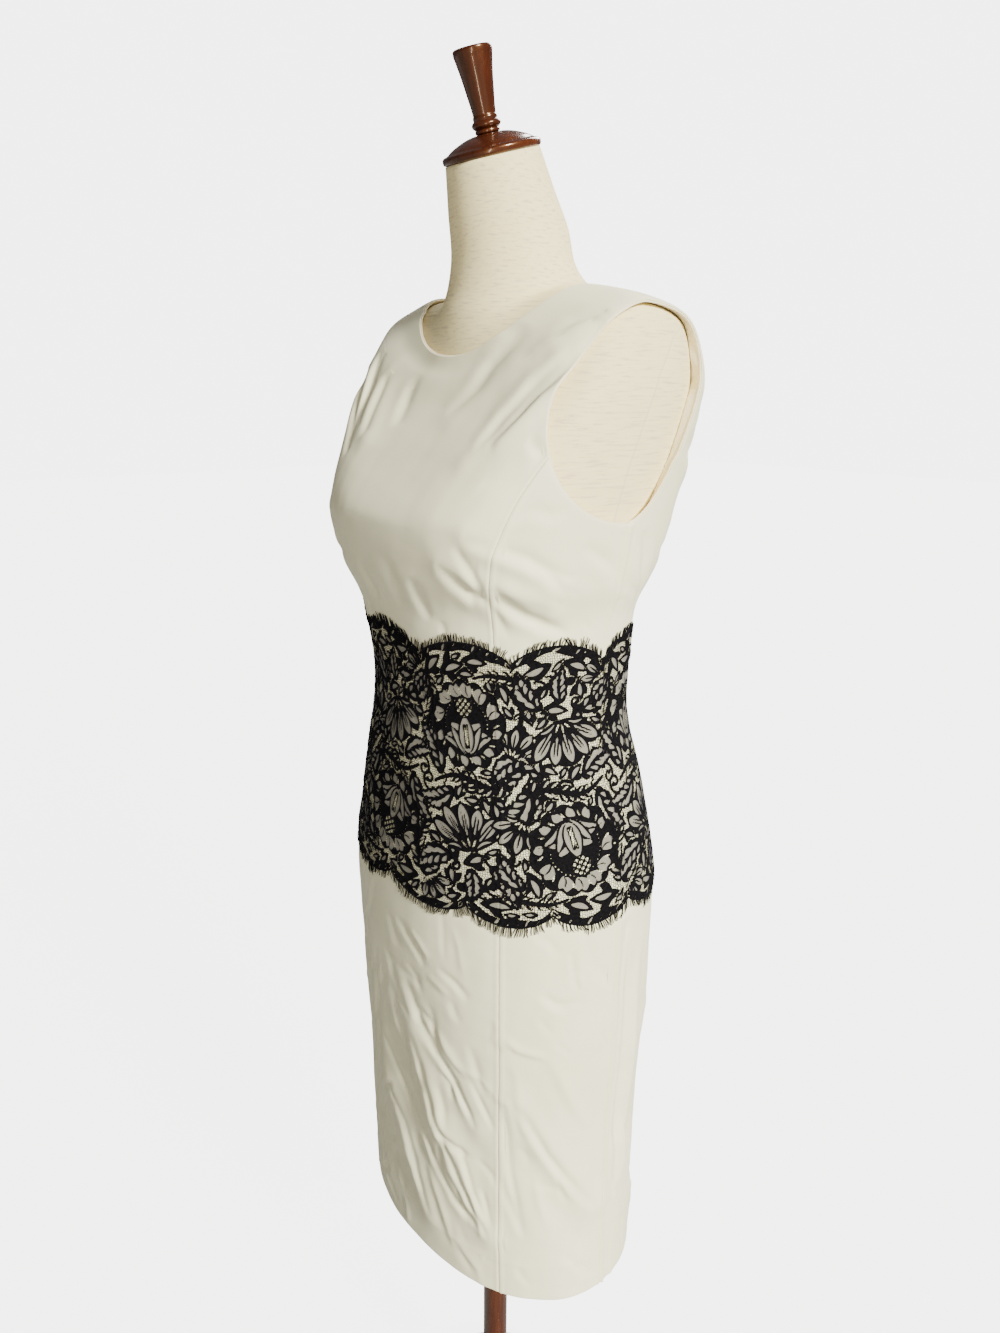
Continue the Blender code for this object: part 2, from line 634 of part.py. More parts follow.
def tilted_ring(angles, centre, radius_x, radius_y, tilt):
    """A ring whose front is lower than its back, as round a neck that leans forward."""
    across = radius_x * np.sin(np.radians(angles))
    along = radius_y * np.cos(np.radians(angles))
    lean = math.radians(tilt)
    y = centre[1] - along * math.cos(lean)
    z = centre[2] - along * math.sin(lean)
    return np.stack([across, y, z], -1)


def form_torso():
    angles = np.arange(FORM_COLUMNS) * 360.0 / FORM_COLUMNS
    first = float(station_at(SIDE_ANGLE, FORM_BOTTOM_Z))
    steps = round((NECKLINE_STATION - first) / FORM_STATION_STEP)
    rings = []
    for station in np.linspace(first, NECKLINE_STATION, steps + 1):
        depth = form_depth(angles, station)
        rings.append(smooth_face(angles, station) - face_normal(angles, station) * depth[:, None])
    rings[0][:, 2] = FORM_BOTTOM_Z
    for ring in NECK_RINGS:
        centre = (0.0, ring.centre_y, ring.centre_z)
        rings.append(tilted_ring(angles, centre, ring.radius_x, ring.radius_y, ring.tilt))
    top = NECK_TOP - wood_axis() * SEAM_GAP
    rings.append(tilted_ring(angles, top, NECK_TOP_RADIUS, NECK_TOP_RADIUS, NECK_LEAN))
    bm = bmesh.new()
    loops = [[bm.verts.new(p) for p in ring] for ring in rings]
    for low, high in zip(loops, loops[1:]):
        for c in range(FORM_COLUMNS):
            n = (c + 1) % FORM_COLUMNS
            bm.faces.new((low[c], low[n], high[n], high[c]))
    bm.faces.new(loops[0])
    bm.faces.new(loops[-1])
    return make_object("form_torso", bm, LINEN)


def wood_axis():
    lean = math.radians(NECK_LEAN)
    return Vector((0.0, -math.sin(lean), math.cos(lean)))


def turned(name, profile, segments, finish):
    """A piece turned on a lathe round its own Z axis."""
    bm = bmesh.new()
    verts = [bm.verts.new((point.radius, 0.0, point.along)) for point in profile]
    edges = [bm.edges.new(pair) for pair in zip(verts, verts[1:])]
    bmesh.ops.spin(
        bm, geom=verts + edges, cent=(0, 0, 0), axis=(0, 0, 1), angle=2 * math.pi,
        steps=segments, use_merge=True, use_duplicate=False,
    )
    bmesh.ops.remove_doubles(bm, verts=bm.verts, dist=1e-6)
    return make_object(name, bm, finish)


def neck_woodwork():
    """The cap on the neck, and the finial on the cap, in line with the neck."""
    lean = (math.radians(NECK_LEAN), 0.0, 0.0)
    cap = turned("neck_cap", CAP_PROFILE, WOOD_SEGMENTS, RED_BROWN_WOOD)
    cap.location = NECK_TOP
    cap.rotation_euler = lean
    finial = turned("finial", FINIAL_PROFILE, WOOD_SEGMENTS, RED_BROWN_WOOD)
    finial.location = NECK_TOP + wood_axis() * (CAP_PROFILE[-1].along + SEAM_GAP)
    finial.rotation_euler = lean
    return cap, finial


def stand():
    turned("stand_base", BASE_PROFILE, BASE_SEGMENTS, RED_BROWN_WOOD)
    length = FORM_BOTTOM_Z - BASE_TOP_Z - 2 * SEAM_GAP
    profile = [
        TurnPoint(0.0, 0.0),
        TurnPoint(0.0, POLE_RADIUS),
        TurnPoint(length, POLE_RADIUS),
        TurnPoint(length, 0.0),
    ]
    pole = turned("stand_pole", profile, WOOD_SEGMENTS, RED_BROWN_WOOD)
    pole.location = (0.0, 0.0, BASE_TOP_Z + SEAM_GAP)
    return pole


# ---- the zip's slider and pull tab ----


def zip_frame():
    """Matrix of the tab's hinge: X across the back, Y down it and Z off the cloth."""
    place = smooth_face(CENTRE_BACK_ANGLE, ZIP_STATION)
    below = smooth_face(CENTRE_BACK_ANGLE, ZIP_STATION - 0.1)
    down = Vector(below - place).normalized()
    across = Vector((1.0, 0.0, 0.0))
    off = across.cross(down).normalized()
    hinge = Vector(place) + off * (SEAM_GAP + SLIDER_THICKNESS + HINGE_HEIGHT)
    frame = Matrix((across, down, off)).transposed().to_4x4()
    frame.translation = hinge
    return frame


def add_box(bm, low, high):
    size = [b - a for a, b in zip(low, high)]
    middle = [(a + b) / 2 for a, b in zip(low, high)]
    matrix = Matrix.Translation(middle) @ Matrix.Diagonal((*size, 1.0))
    return bmesh.ops.create_cube(bm, size=1.0, matrix=matrix)["verts"]


def round_edges(bm, verts, radius):
    edges = {edge for vert in verts for edge in vert.link_edges}
    bmesh.ops.bevel(
        bm, geom=list(edges), offset=radius, segments=1, profile=0.5, affect="EDGES", material=-1
    )


def helper(name, bm):
    """A solid that only cuts or joins another."""
    bmesh.ops.recalc_face_normals(bm, faces=bm.faces)
    mesh = bpy.data.meshes.new(name)
    bm.to_mesh(mesh)
    bm.free()
    made = bpy.data.objects.new(name, mesh)
    bpy.context.scene.collection.objects.link(made)
    made.hide_render = True
    made.display_type = "WIRE"
    return made


def combine(made, other, operation):
    boolean = made.modifiers.new(operation.lower(), "BOOLEAN")
    boolean.operation = operation
    boolean.solver = "EXACT"
    boolean.object = other


def zip_slider(frame):
    """A flat body with a bridge over a tunnel, which the tab's bar runs through."""
    top = -HINGE_HEIGHT
    half = SLIDER_WIDTH / 2
    bm = bmesh.new()
    low = (-half, -SLIDER_ABOVE_HINGE, top - SLIDER_THICKNESS)
    body = add_box(bm, low, (half, SLIDER_BELOW_HINGE, top))
    round_edges(bm, body, 0.0005)
    slider = make_object("zip_slider", bm, ZIP_METAL)

    roof = TUNNEL_HALF * 0.6
    bm = bmesh.new()
    low = (-BRIDGE_WIDTH / 2, -BRIDGE_HALF_LENGTH, top - 0.0006)
    add_box(bm, low, (BRIDGE_WIDTH / 2, BRIDGE_HALF_LENGTH, roof + BRIDGE_BAR))
    bridge = helper("slider_bridge_shape", bm)

    bm = bmesh.new()
    low = (-BRIDGE_WIDTH, -TUNNEL_HALF, top + 0.0002)
    add_box(bm, low, (BRIDGE_WIDTH, TUNNEL_HALF, roof))
    tunnel = helper("slider_tunnel_shape", bm)
    combine(bridge, tunnel, "DIFFERENCE")
    combine(slider, bridge, "UNION")
    for thing in (slider, bridge, tunnel):
        thing.matrix_world = frame
    return slider


def zip_pull_tab(frame):
    """A drop-shaped tab with a window. The bar at the window's head turns in the slider's tunnel."""
    half_head = TAB_HEAD_WIDTH / 2
    half_waist = TAB_WAIST_WIDTH / 2
    end_middle = TAB_LENGTH - TAB_END_RADIUS
    left = [(-half_head, -TAB_BAR_HALF), (-half_head, TAB_WINDOW_END + 0.0008), (-half_waist, 0.0095)]
    arc = []
    for step in range(9):
        turn = math.radians(200 - 220 * step / 8)
        arc.append((TAB_END_RADIUS * math.cos(turn), end_middle + TAB_END_RADIUS * math.sin(turn)))
    right = [(-x, y) for x, y in reversed(left)]
    bm = bmesh.new()
    outline = [bm.verts.new((x, y, -TAB_THICKNESS / 2)) for x, y in left + arc + right]
    face = bm.faces.new(outline)
    raised = bmesh.ops.extrude_face_region(bm, geom=[face])["geom"]
    moved = [item for item in raised if isinstance(item, bmesh.types.BMVert)]
    bmesh.ops.translate(bm, verts=moved, vec=(0, 0, TAB_THICKNESS))
    tab = make_object("zip_pull_tab", bm, ZIP_METAL)

    bm = bmesh.new()
    low = (-TAB_WINDOW_WIDTH / 2, TAB_BAR_HALF, -TAB_THICKNESS)
    add_box(bm, low, (TAB_WINDOW_WIDTH / 2, TAB_WINDOW_END, TAB_THICKNESS))
    window = helper("tab_window_shape", bm)
    combine(tab, window, "DIFFERENCE")
    tilt = Matrix.Rotation(math.radians(-TAB_REST_TILT), 4, "X")
    for thing in (tab, window):
        thing.matrix_world = frame @ tilt
    return tab


def main():
    clear_scene()
    front_centre()
    neck_facing()
    for side, sign in (("left", 1), ("right", -1)):
        side_front(side, sign)
        back(side, sign)
        armhole_facing(side, sign)
    lace_band()
    lace_fringe(LACE_TOP)
    lace_fringe(LACE_BOTTOM)
    form_torso()
    neck_woodwork()
    stand()
    hinge = zip_frame()
    zip_slider(hinge)
    zip_pull_tab(hinge)


main()
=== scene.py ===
import math
import random

import bmesh
import bpy
import numpy as np
from mathutils import Matrix, Vector


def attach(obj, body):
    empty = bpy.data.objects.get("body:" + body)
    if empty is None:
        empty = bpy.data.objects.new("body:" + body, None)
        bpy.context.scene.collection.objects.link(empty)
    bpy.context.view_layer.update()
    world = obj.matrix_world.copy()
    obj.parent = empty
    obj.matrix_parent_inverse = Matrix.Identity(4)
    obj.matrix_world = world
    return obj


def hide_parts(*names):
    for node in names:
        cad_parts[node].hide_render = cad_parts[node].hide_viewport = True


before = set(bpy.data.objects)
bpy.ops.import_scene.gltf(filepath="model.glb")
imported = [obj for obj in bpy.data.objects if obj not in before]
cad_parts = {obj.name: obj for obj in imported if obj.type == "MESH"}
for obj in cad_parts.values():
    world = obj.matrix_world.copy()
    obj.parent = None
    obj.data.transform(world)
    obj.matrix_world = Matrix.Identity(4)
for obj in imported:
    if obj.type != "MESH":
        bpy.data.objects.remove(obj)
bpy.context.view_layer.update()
dressBody = "dress_on_form"

# A place on the cloth is an angle and a station, as in the part's source. The angle is 0 at the centre
# front, 90 at the wearer's left and 180 at the centre back. Stations count the rings up from the hem.
dressCut = {
    # height at the side, front and back, half width, depth in front and behind, y of the middle,
    # how round the ring is, and how flat its front and back
    "rings": [
        (0.408, 0.408, 0.408, 0.1700, 0.1130, 0.1170, 0.0000, 0.92, 0.00, 0.00),  # hem
        (0.570, 0.570, 0.570, 0.1670, 0.1170, 0.1220, 0.0000, 0.92, 0.00, 0.00),  # knee
        (0.704, 0.704, 0.704, 0.1720, 0.1230, 0.1300, 0.0000, 0.92, 0.00, 0.00),  # thigh
        (0.824, 0.824, 0.824, 0.1720, 0.1270, 0.1340, 0.0000, 0.92, 0.00, 0.00),  # hip
        (0.922, 0.922, 0.922, 0.1590, 0.1190, 0.1220, 0.0000, 0.92, 0.00, 0.02),  # high hip
        (1.019, 1.019, 1.019, 0.1365, 0.1120, 0.1035, 0.0000, 0.92, 0.00, 0.06),  # waist
        (1.103, 1.100, 1.100, 0.1435, 0.1245, 0.1025, 0.0000, 0.92, 0.03, 0.08),  # under bust
        (1.144, 1.149, 1.140, 0.1560, 0.1460, 0.1160, 0.0000, 0.86, 0.08, 0.12),  # bust
        (1.193, 1.189, 1.188, 0.1635, 0.1545, 0.1395, 0.0000, 0.85, 0.09, 0.16),  # underarm
        (1.304, 1.243, 1.277, 0.1820, 0.1250, 0.1475, 0.0110, 0.87, 0.03, 0.17),  # chest
        (1.3635, 1.287, 1.3210, 0.1670, 0.0960, 0.1290, 0.0180, 0.87, 0.00, 0.15),  # shoulder tip
        (1.3765, 1.311, 1.3535, 0.1405, 0.0840, 0.0960, 0.0180, 0.92, 0.00, 0.09),  # mid shoulder
        (1.3845, 1.327, 1.3805, 0.0995, 0.0710, 0.0680, 0.0105, 0.94, 0.00, 0.00),  # neckline
    ],
    "underarm": 8.0,
    "armholeTop": 10.32,
    "neckline": 12.0,
    "princess": [
        (0.00, 40.0), (3.00, 42.0), (6.60, 44.0), (7.50, 46.0), (8.00, 49.5), (8.31, 51.7), (8.62, 56.5),
    ],
    "princessTop": 8.62,
    "armholeFront": {"swing": 40.0, "skew": 0.94, "fullness": 0.74},
    "armholeBack": {"swing": 25.5, "skew": 1.16, "fullness": 0.60},
    "seamGap": 0.0003,
}
armholeMiddle = (dressCut["underarm"] + dressCut["armholeTop"]) / 2
armholeReach = armholeMiddle - dressCut["underarm"]


# smooth curves that run through rows of values with no overshoot
def endSlope(nearGap, farGap, nearRate, farRate):
    free = ((2 * nearGap + farGap) * nearRate - nearGap * farRate) / (nearGap + farGap)
    free = np.where(free * nearRate <= 0, 0.0, free)
    tooSteep = (nearRate * farRate <= 0) & (abs(free) > 3 * abs(nearRate))
    return np.where(tooSteep, 3 * nearRate, free)


def smoothCurve(places, values):
    places = np.asarray(places, float)
    values = np.asarray(values, float).reshape(len(places), -1)
    gaps = np.diff(places)[:, None]
    rates = np.diff(values, axis=0) / gaps
    slopes = np.zeros_like(values)
    weight1 = 2 * gaps[1:] + gaps[:-1]
    weight2 = gaps[1:] + 2 * gaps[:-1]
    with np.errstate(divide="ignore", invalid="ignore"):
        mean = (weight1 + weight2) / (weight1 / rates[:-1] + weight2 / rates[1:])
    slopes[1:-1] = np.where(rates[:-1] * rates[1:] > 0, mean, 0.0)
    slopes[0] = endSlope(gaps[0], gaps[1], rates[0], rates[1])
    slopes[-1] = endSlope(gaps[-1], gaps[-2], rates[-1], rates[-2])

    def curve(place):
        place = np.clip(np.asarray(place, float), places[0], places[-1])
        row = np.clip(np.searchsorted(places, place, side="right") - 1, 0, len(places) - 2)
        width = gaps[row, 0][..., None]
        part = (place - places[row])[..., None] / width
        rise = (3 - 2 * part) * part**2
        return (
            values[row] * (1 - rise)
            + values[row + 1] * rise
            + slopes[row] * width * part * (1 - part) ** 2
            - slopes[row + 1] * width * part**2 * (1 - part)
        )

    return curve


ringAt = smoothCurve(range(len(dressCut["rings"])), dressCut["rings"])
princessCurve = smoothCurve(*zip(*dressCut["princess"]))
# for slopes and searches on the face
faceSteps = {"angle": 1.5, "station": 0.03, "halvings": 26, "firstTry": 0.1, "rounds": 8}


def faceAt(angle, station):
    # the outer face without folds
    angle, station = np.broadcast_arrays(np.asarray(angle, float), np.asarray(station, float))
    sideZ, frontZ, backZ, halfWidth, frontDepth, backDepth, centreY, roundness, frontFlat, backFlat = (
        np.moveaxis(ringAt(station), -1, 0)
    )
    sine = np.sin(np.radians(angle))
    cosine = np.cos(np.radians(angle))
    depth = np.where(
        cosine > 0, -frontDepth * (1 - frontFlat * cosine**4), backDepth * (1 - backFlat * cosine**4)
    )
    endZ = np.where(cosine > 0, frontZ, backZ)
    x = halfWidth * np.sign(sine) * abs(sine) ** roundness
    y = centreY + depth * abs(cosine) ** roundness
    return np.stack([x, y, sideZ + (endZ - sideZ) * cosine**2], -1)


def unit(ways):
    return ways / np.maximum(np.linalg.norm(ways, axis=-1, keepdims=True), 1e-9)


def normalAt(angle, station):
    angle, station = np.asarray(angle, float), np.asarray(station, float)
    turn, climb = faceSteps["angle"], faceSteps["station"]
    low, high = (np.clip(station + step, 0, dressCut["neckline"]) for step in (-climb, climb))
    across = faceAt(angle + turn, station) - faceAt(angle - turn, station)
    return unit(np.cross(across, faceAt(angle, high) - faceAt(angle, low)))


def stationAt(angle, height):
    angle, height = np.broadcast_arrays(np.asarray(angle, float), np.asarray(height, float))
    low = np.zeros(height.shape)
    high = np.full(height.shape, dressCut["neckline"])
    for _ in range(faceSteps["halvings"]):
        middle = (low + high) / 2
        under = faceAt(angle, middle)[..., 2] < height
        low = np.where(under, middle, low)
        high = np.where(under, high, middle)
    return (low + high) / 2


def princessAngle(station):
    return princessCurve(station)[..., 0]


def armholeAngle(station, side):
    # side is "front" or "back"
    shape = dressCut["armholeFront" if side == "front" else "armholeBack"]
    part = (station - dressCut["underarm"]) / (dressCut["armholeTop"] - dressCut["underarm"])
    bow = np.sin(math.pi * np.clip(part, 0, 1) ** shape["skew"]).clip(0)
    swing = shape["swing"] * bow ** shape["fullness"]
    return 90 - swing if side == "front" else 90 + swing


# a turn goes up along an armhole, from 0 at the underarm to 180 at the shoulder
def armholeStation(turn):
    return armholeMiddle - armholeReach * np.cos(np.radians(turn))


def armholeTurn(station):
    return math.degrees(math.acos((armholeMiddle - station) / armholeReach))


folds = {
    "metresPerDegree": 0.0026,
    # the large ones: angle and height of the two ends, then rise and spread in metres
    "large": [
        (2, 0.690, 14, 0.586, 0.0026, 0.015),
        (14, 0.586, 36, 0.474, 0.0032, 0.015),
        (22, 0.640, 34, 0.560, -0.0022, 0.018),
        (18, 0.672, 31, 0.602, 0.0022, 0.013),
        (-12, 0.585, 8, 0.455, 0.0028, 0.015),
        (-4, 0.640, 4, 0.520, -0.0022, 0.017),
        (-20, 0.740, -17, 0.590, 0.0020, 0.016),
        (-33, 0.560, -20, 0.440, 0.0024, 0.015),
        (48, 0.644, 86, 0.511, 0.0028, 0.016),
        (52, 0.575, 80, 0.470, -0.0020, 0.017),
        (100, 0.560, 124, 0.450, 0.0024, 0.016),
        (-52, 0.660, -84, 0.530, 0.0026, 0.016),
        (-60, 0.590, -82, 0.480, -0.0020, 0.018),
        (-104, 0.600, -126, 0.470, 0.0024, 0.016),
        (168, 0.700, 148, 0.520, 0.0026, 0.017),
        (160, 0.740, 140, 0.600, -0.0018, 0.018),
        (-158, 0.620, -142, 0.460, 0.0026, 0.016),
        (50, 1.318, 25, 1.245, 0.0020, 0.012),
        (42, 1.345, 10, 1.280, 0.0016, 0.012),
        (-33, 1.315, -20, 1.255, 0.0016, 0.012),
        (36, 1.188, 70, 1.140, 0.0022, 0.011),
        (26, 1.160, 68, 1.118, 0.0020, 0.010),
        (-38, 1.186, -70, 1.142, 0.0020, 0.011),
        (122, 1.240, 158, 1.190, 0.0020, 0.014),
        (-126, 1.236, -154, 1.180, 0.0020, 0.014),
        (132, 1.150, 166, 1.124, 0.0018, 0.011),
        (-130, 1.146, -168, 1.120, 0.0018, 0.011),
    ],
    # the finer ones: points as (angle, height), then depth, spread, and lean towards the lower side
    "fine": [
        ([(55, 1.326), (41, 1.300), (33, 1.276), (28, 1.252)], -0.0020, 0.0062, 0.5),
        ([(57, 1.310), (44, 1.282), (34, 1.255)], 0.0016, 0.0070, 0.3),
        ([(44, 1.350), (23, 1.317), (8, 1.276)], -0.0016, 0.0060, 0.5),
        ([(62, 1.352), (50, 1.340), (38, 1.325)], 0.0012, 0.0050, 0.3),
        ([(70, 1.360), (58, 1.352), (47, 1.338)], -0.0011, 0.0042, 0.4),
        ([(-14, 1.312), (-9, 1.268)], -0.0012, 0.0060, 0.4),
        ([(-31, 1.314), (-22, 1.258)], -0.0015, 0.0060, 0.5),
        ([(-46, 1.335), (-38, 1.300), (-30, 1.262)], -0.0012, 0.0060, 0.4),
        ([(36, 1.186), (50, 1.178), (59, 1.171), (66, 1.160), (74, 1.132)], -0.0018, 0.0055, 0.5),
        ([(25, 1.163), (38, 1.139), (46, 1.140), (57, 1.120), (74, 1.102)], -0.0027, 0.0065, 0.6),
        ([(40, 1.158), (54, 1.143), (68, 1.128)], 0.0015, 0.0070, 0.2),
        ([(12, 1.145), (18, 1.108)], -0.0012, 0.0060, 0.4),
        ([(3, 1.157), (5, 1.112)], -0.0011, 0.0065, 0.3),
        ([(-12, 1.150), (-9, 1.112)], -0.0011, 0.0065, 0.3),
        ([(52, 1.202), (58, 1.210), (65, 1.205), (70, 1.209)], -0.0011, 0.0045, 0.3),
        ([(46, 1.264), (56, 1.250)], -0.0012, 0.0050, 0.3),
        ([(36, 1.227), (52, 1.233)], -0.0009, 0.0060, 0.3),
        ([(78, 1.180), (88, 1.160), (96, 1.132)], -0.0014, 0.0060, 0.4),
        ([(98, 1.186), (104, 1.150), (112, 1.120)], -0.0015, 0.0065, 0.4),
        ([(-36, 1.184), (-54, 1.172), (-70, 1.140)], -0.0016, 0.0060, 0.5),
        ([(-28, 1.160), (-44, 1.138), (-70, 1.106)], -0.0020, 0.0065, 0.5),
        ([(-55, 1.320), (-42, 1.286), (-30, 1.240)], -0.0016, 0.0065, 0.4),
        ([(-84, 1.176), (-98, 1.140), (-110, 1.118)], -0.0014, 0.0060, 0.4),
        ([(112, 1.262), (132, 1.236), (150, 1.206)], -0.0018, 0.0080, 0.4),
        ([(-114, 1.258), (-132, 1.228), (-152, 1.202)], -0.0016, 0.0080, 0.4),
        ([(118, 1.170), (140, 1.146), (164, 1.132)], -0.0016, 0.0070, 0.5),
        ([(-120, 1.166), (-146, 1.142), (-166, 1.128)], -0.0016, 0.0070, 0.5),
        ([(150, 1.330), (162, 1.290), (168, 1.246)], -0.0014, 0.0080, 0.3),
        ([(-148, 1.332), (-160, 1.296), (-168, 1.250)], -0.0014, 0.0080, 0.3),
        ([(136, 1.118), (150, 1.104), (170, 1.100)], -0.0012, 0.0055, 0.4),
        ([(-12, 0.583), (-3, 0.550), (3, 0.500), (9, 0.456)], -0.0012, 0.0045, 0.6),
        ([(4, 0.677), (14, 0.588), (24, 0.530), (37, 0.473)], -0.0014, 0.0045, 0.6),
        ([(18, 0.668), (25, 0.640), (32, 0.601)], -0.0010, 0.0042, 0.5),
        ([(-23, 0.460), (-10, 0.420)], -0.0009, 0.0042, 0.5),
        ([(34, 0.532), (38, 0.487)], -0.0009, 0.0042, 0.4),
        ([(8, 0.520), (16, 0.470), (20, 0.436)], 0.0009, 0.0050, 0.4),
        ([(-2, 0.620), (6, 0.565), (10, 0.520)], 0.0009, 0.0055, 0.4),
        ([(24, 0.560), (30, 0.520), (34, 0.470)], 0.0008, 0.0045, 0.4),
        ([(48, 0.645), (63, 0.584), (76, 0.545), (87, 0.510)], -0.0010, 0.0050, 0.5),
        ([(41, 0.554), (52, 0.484)], -0.0008, 0.0045, 0.4),
        ([(58, 0.768), (70, 0.748)], -0.0006, 0.0050, 0.3),
        ([(62, 0.700), (74, 0.640), (82, 0.610)], 0.0007, 0.0070, 0.3),
        ([(-15, 0.742), (-17, 0.660), (-19, 0.594)], -0.0009, 0.0055, 0.4),
        ([(-6, 0.744), (9, 0.741)], -0.0005, 0.0045, 0.2),
        ([(-26, 0.700), (-30, 0.610), (-27, 0.540)], -0.0009, 0.0055, 0.4),
        ([(-34, 0.560), (-26, 0.500), (-18, 0.445)], -0.0010, 0.0045, 0.5),
        ([(30, 0.700), (36, 0.640)], -0.0006, 0.0050, 0.3),
        ([(-50, 0.664), (-66, 0.600), (-86, 0.528)], -0.0012, 0.0048, 0.5),
        ([(-58, 0.560), (-70, 0.500), (-78, 0.450)], -0.0010, 0.0046, 0.5),
        ([(-92, 0.640), (-108, 0.560), (-128, 0.466)], -0.0012, 0.0050, 0.5),
        ([(96, 0.640), (108, 0.560), (126, 0.446)], -0.0012, 0.0050, 0.5),
        ([(112, 0.520), (122, 0.470), (130, 0.430)], 0.0009, 0.0048, 0.4),
        ([(170, 0.706), (158, 0.600), (146, 0.516)], -0.0013, 0.0050, 0.5),
        ([(152, 0.560), (142, 0.500), (136, 0.450)], -0.0010, 0.0046, 0.4),
        ([(-160, 0.624), (-150, 0.540), (-140, 0.456)], -0.0013, 0.0050, 0.5),
        ([(-170, 0.560), (-162, 0.500), (-156, 0.440)], -0.0009, 0.0046, 0.4),
        ([(-146, 0.740), (-150, 0.660), (-146, 0.600)], -0.0008, 0.0060, 0.4),
        ([(130, 0.740), (126, 0.680), (118, 0.620)], -0.0008, 0.0060, 0.4),
        ([(30, 1.256), (36, 1.276), (43, 1.301), (56, 1.327), (66, 1.353)], -0.0018, 0.0078, 0.6),
        ([(-49, 1.335), (-38, 1.296), (-33, 1.254)], -0.0014, 0.0050, 0.5),
        ([(33, 1.180), (41, 1.149), (47, 1.117), (50, 1.098)], -0.0012, 0.0050, 0.5),
        ([(98, 0.800), (99, 0.700), (98, 0.610), (99, 0.520)], -0.0026, 0.0060, 0.5),
        ([(105, 0.790), (106, 0.660), (104, 0.520)], 0.0022, 0.0080, 0.4),
        ([(38, 1.290), (47, 1.310), (56, 1.330)], -0.0014, 0.0040, 0.6),
        ([(0, 0.802), (9, 0.778), (12, 0.764)], -0.0009, 0.0045, 0.5),
        ([(2, 0.739), (9, 0.696), (16, 0.673), (25, 0.647)], -0.0010, 0.0045, 0.5),
        ([(-15, 0.643), (-2, 0.597), (3, 0.573), (13, 0.528), (21, 0.501), (35, 0.478)],
         -0.0011, 0.0042, 0.6),
        ([(17, 0.671), (23, 0.645), (30, 0.613)], -0.0011, 0.0032, 0.6),
        ([(30, 0.658), (40, 0.606)], -0.0008, 0.0036, 0.5),
        ([(-15, 0.532), (-4, 0.507), (1, 0.493)], -0.0009, 0.0038, 0.5),
        ([(14, 0.596), (17, 0.573), (29, 0.563)], -0.0008, 0.0030, 0.4),
        ([(24, 0.574), (30, 0.525), (36, 0.494)], -0.0010, 0.0038, 0.5),
        ([(42, 0.646), (45, 0.604), (46, 0.566), (52, 0.488)], -0.0009, 0.0042, 0.6),
        ([(51, 0.642), (62, 0.590), (73, 0.548), (82, 0.518)], -0.0010, 0.0048, 0.6),
        ([(59, 0.769), (64, 0.757), (76, 0.757)], -0.0006, 0.0045, 0.4),
        ([(96, 0.827), (94, 0.768), (95, 0.707)], -0.0011, 0.0045, 0.6),
        ([(95, 0.642), (96, 0.579)], -0.0008, 0.0042, 0.5),
    ],
    "fineGain": 1.9,
    "deepest": 0.0036,
    "taper": 0.6,
    # short creases between them, by area: count, angles, heights, length, depth, degrees steep
    "short": [
        (150, (-180, 180), (0.430, 0.835), (0.016, 0.070), 0.00055, (68, 17)),
        (46, (-40, 48), (0.440, 0.780), (0.020, 0.060), 0.00070, (62, 22)),
        (30, (52, 180), (1.085, 1.190), (0.014, 0.050), 0.00040, (40, 26)),
        (30, (-180, -52), (1.085, 1.190), (0.014, 0.050), 0.00040, (40, 26)),
        (10, (-30, 30), (1.085, 1.120), (0.014, 0.034), 0.00034, (78, 12)),
        (12, (62, 180), (1.230, 1.340), (0.018, 0.060), 0.00036, (50, 22)),
        (12, (-180, -62), (1.230, 1.340), (0.018, 0.060), 0.00036, (50, 22)),
    ],
    "shortSeed": 11,
    "shortLeastSteep": 24,
    "shortParting": -8,  # they run down to either side from this angle
    "shortBend": 0.18,
    "shortSpread": (0.0030, 0.0062),
    "shortLean": (0.2, 0.7),
    # cloth pushed up beside a crease, in shares of the crease's depth and spread
    "shoulder": {"rise": 0.35, "away": 1.7, "spread": 1.3},
    "ripple": (0.00060, 0.00032, 0.00010),
    "hem": {"z": 0.4480, "rise": 0.00030, "spread": 0.0022},
    # the turnings pressed open inside raise the cloth on both sides of each seam
    "seamRidge": {"outer": 0.00090, "inner": 0.00035, "away": 0.0025, "spread": 0.0019},
    "seamBulk": {"princess": 1.0, "side": 2.4, "back": 1.0},
    "seamCalm": {"share": 0.70, "spread": 0.0090},  # seams are stiffer, so creases are shallower there
}


def shortCreases():
    draw = random.Random(folds["shortSeed"])
    rows = []
    for count, angles, heights, lengths, depth, (steep, vary) in folds["short"]:
        for _ in range(count):
            angle, height = draw.uniform(*angles), draw.uniform(*heights)
            length = draw.uniform(*lengths)
            slope = math.radians(max(draw.gauss(steep, vary), folds["shortLeastSteep"]))
            way = 1 if angle > folds["shortParting"] else -1
            across = way * length * math.cos(slope) / folds["metresPerDegree"]
            down = length * math.sin(slope)
            bend = draw.uniform(-folds["shortBend"], folds["shortBend"])
            middle = (angle + across * (0.5 + bend), height - down * (0.5 - bend))
            rise = depth * draw.uniform(0.5, 1.5) * draw.choice((-1, -1, 1))
            points = [(angle, height), middle, (angle + across, height - down)]
            spread = draw.uniform(*folds["shortSpread"])
            rows.append((points, rise, spread, draw.uniform(*folds["shortLean"])))
    return rows


folds["fine"] += shortCreases()


def wrapped(angle):
    # the same angle between -180 and 180
    return (angle + 180.0) % 360.0 - 180.0


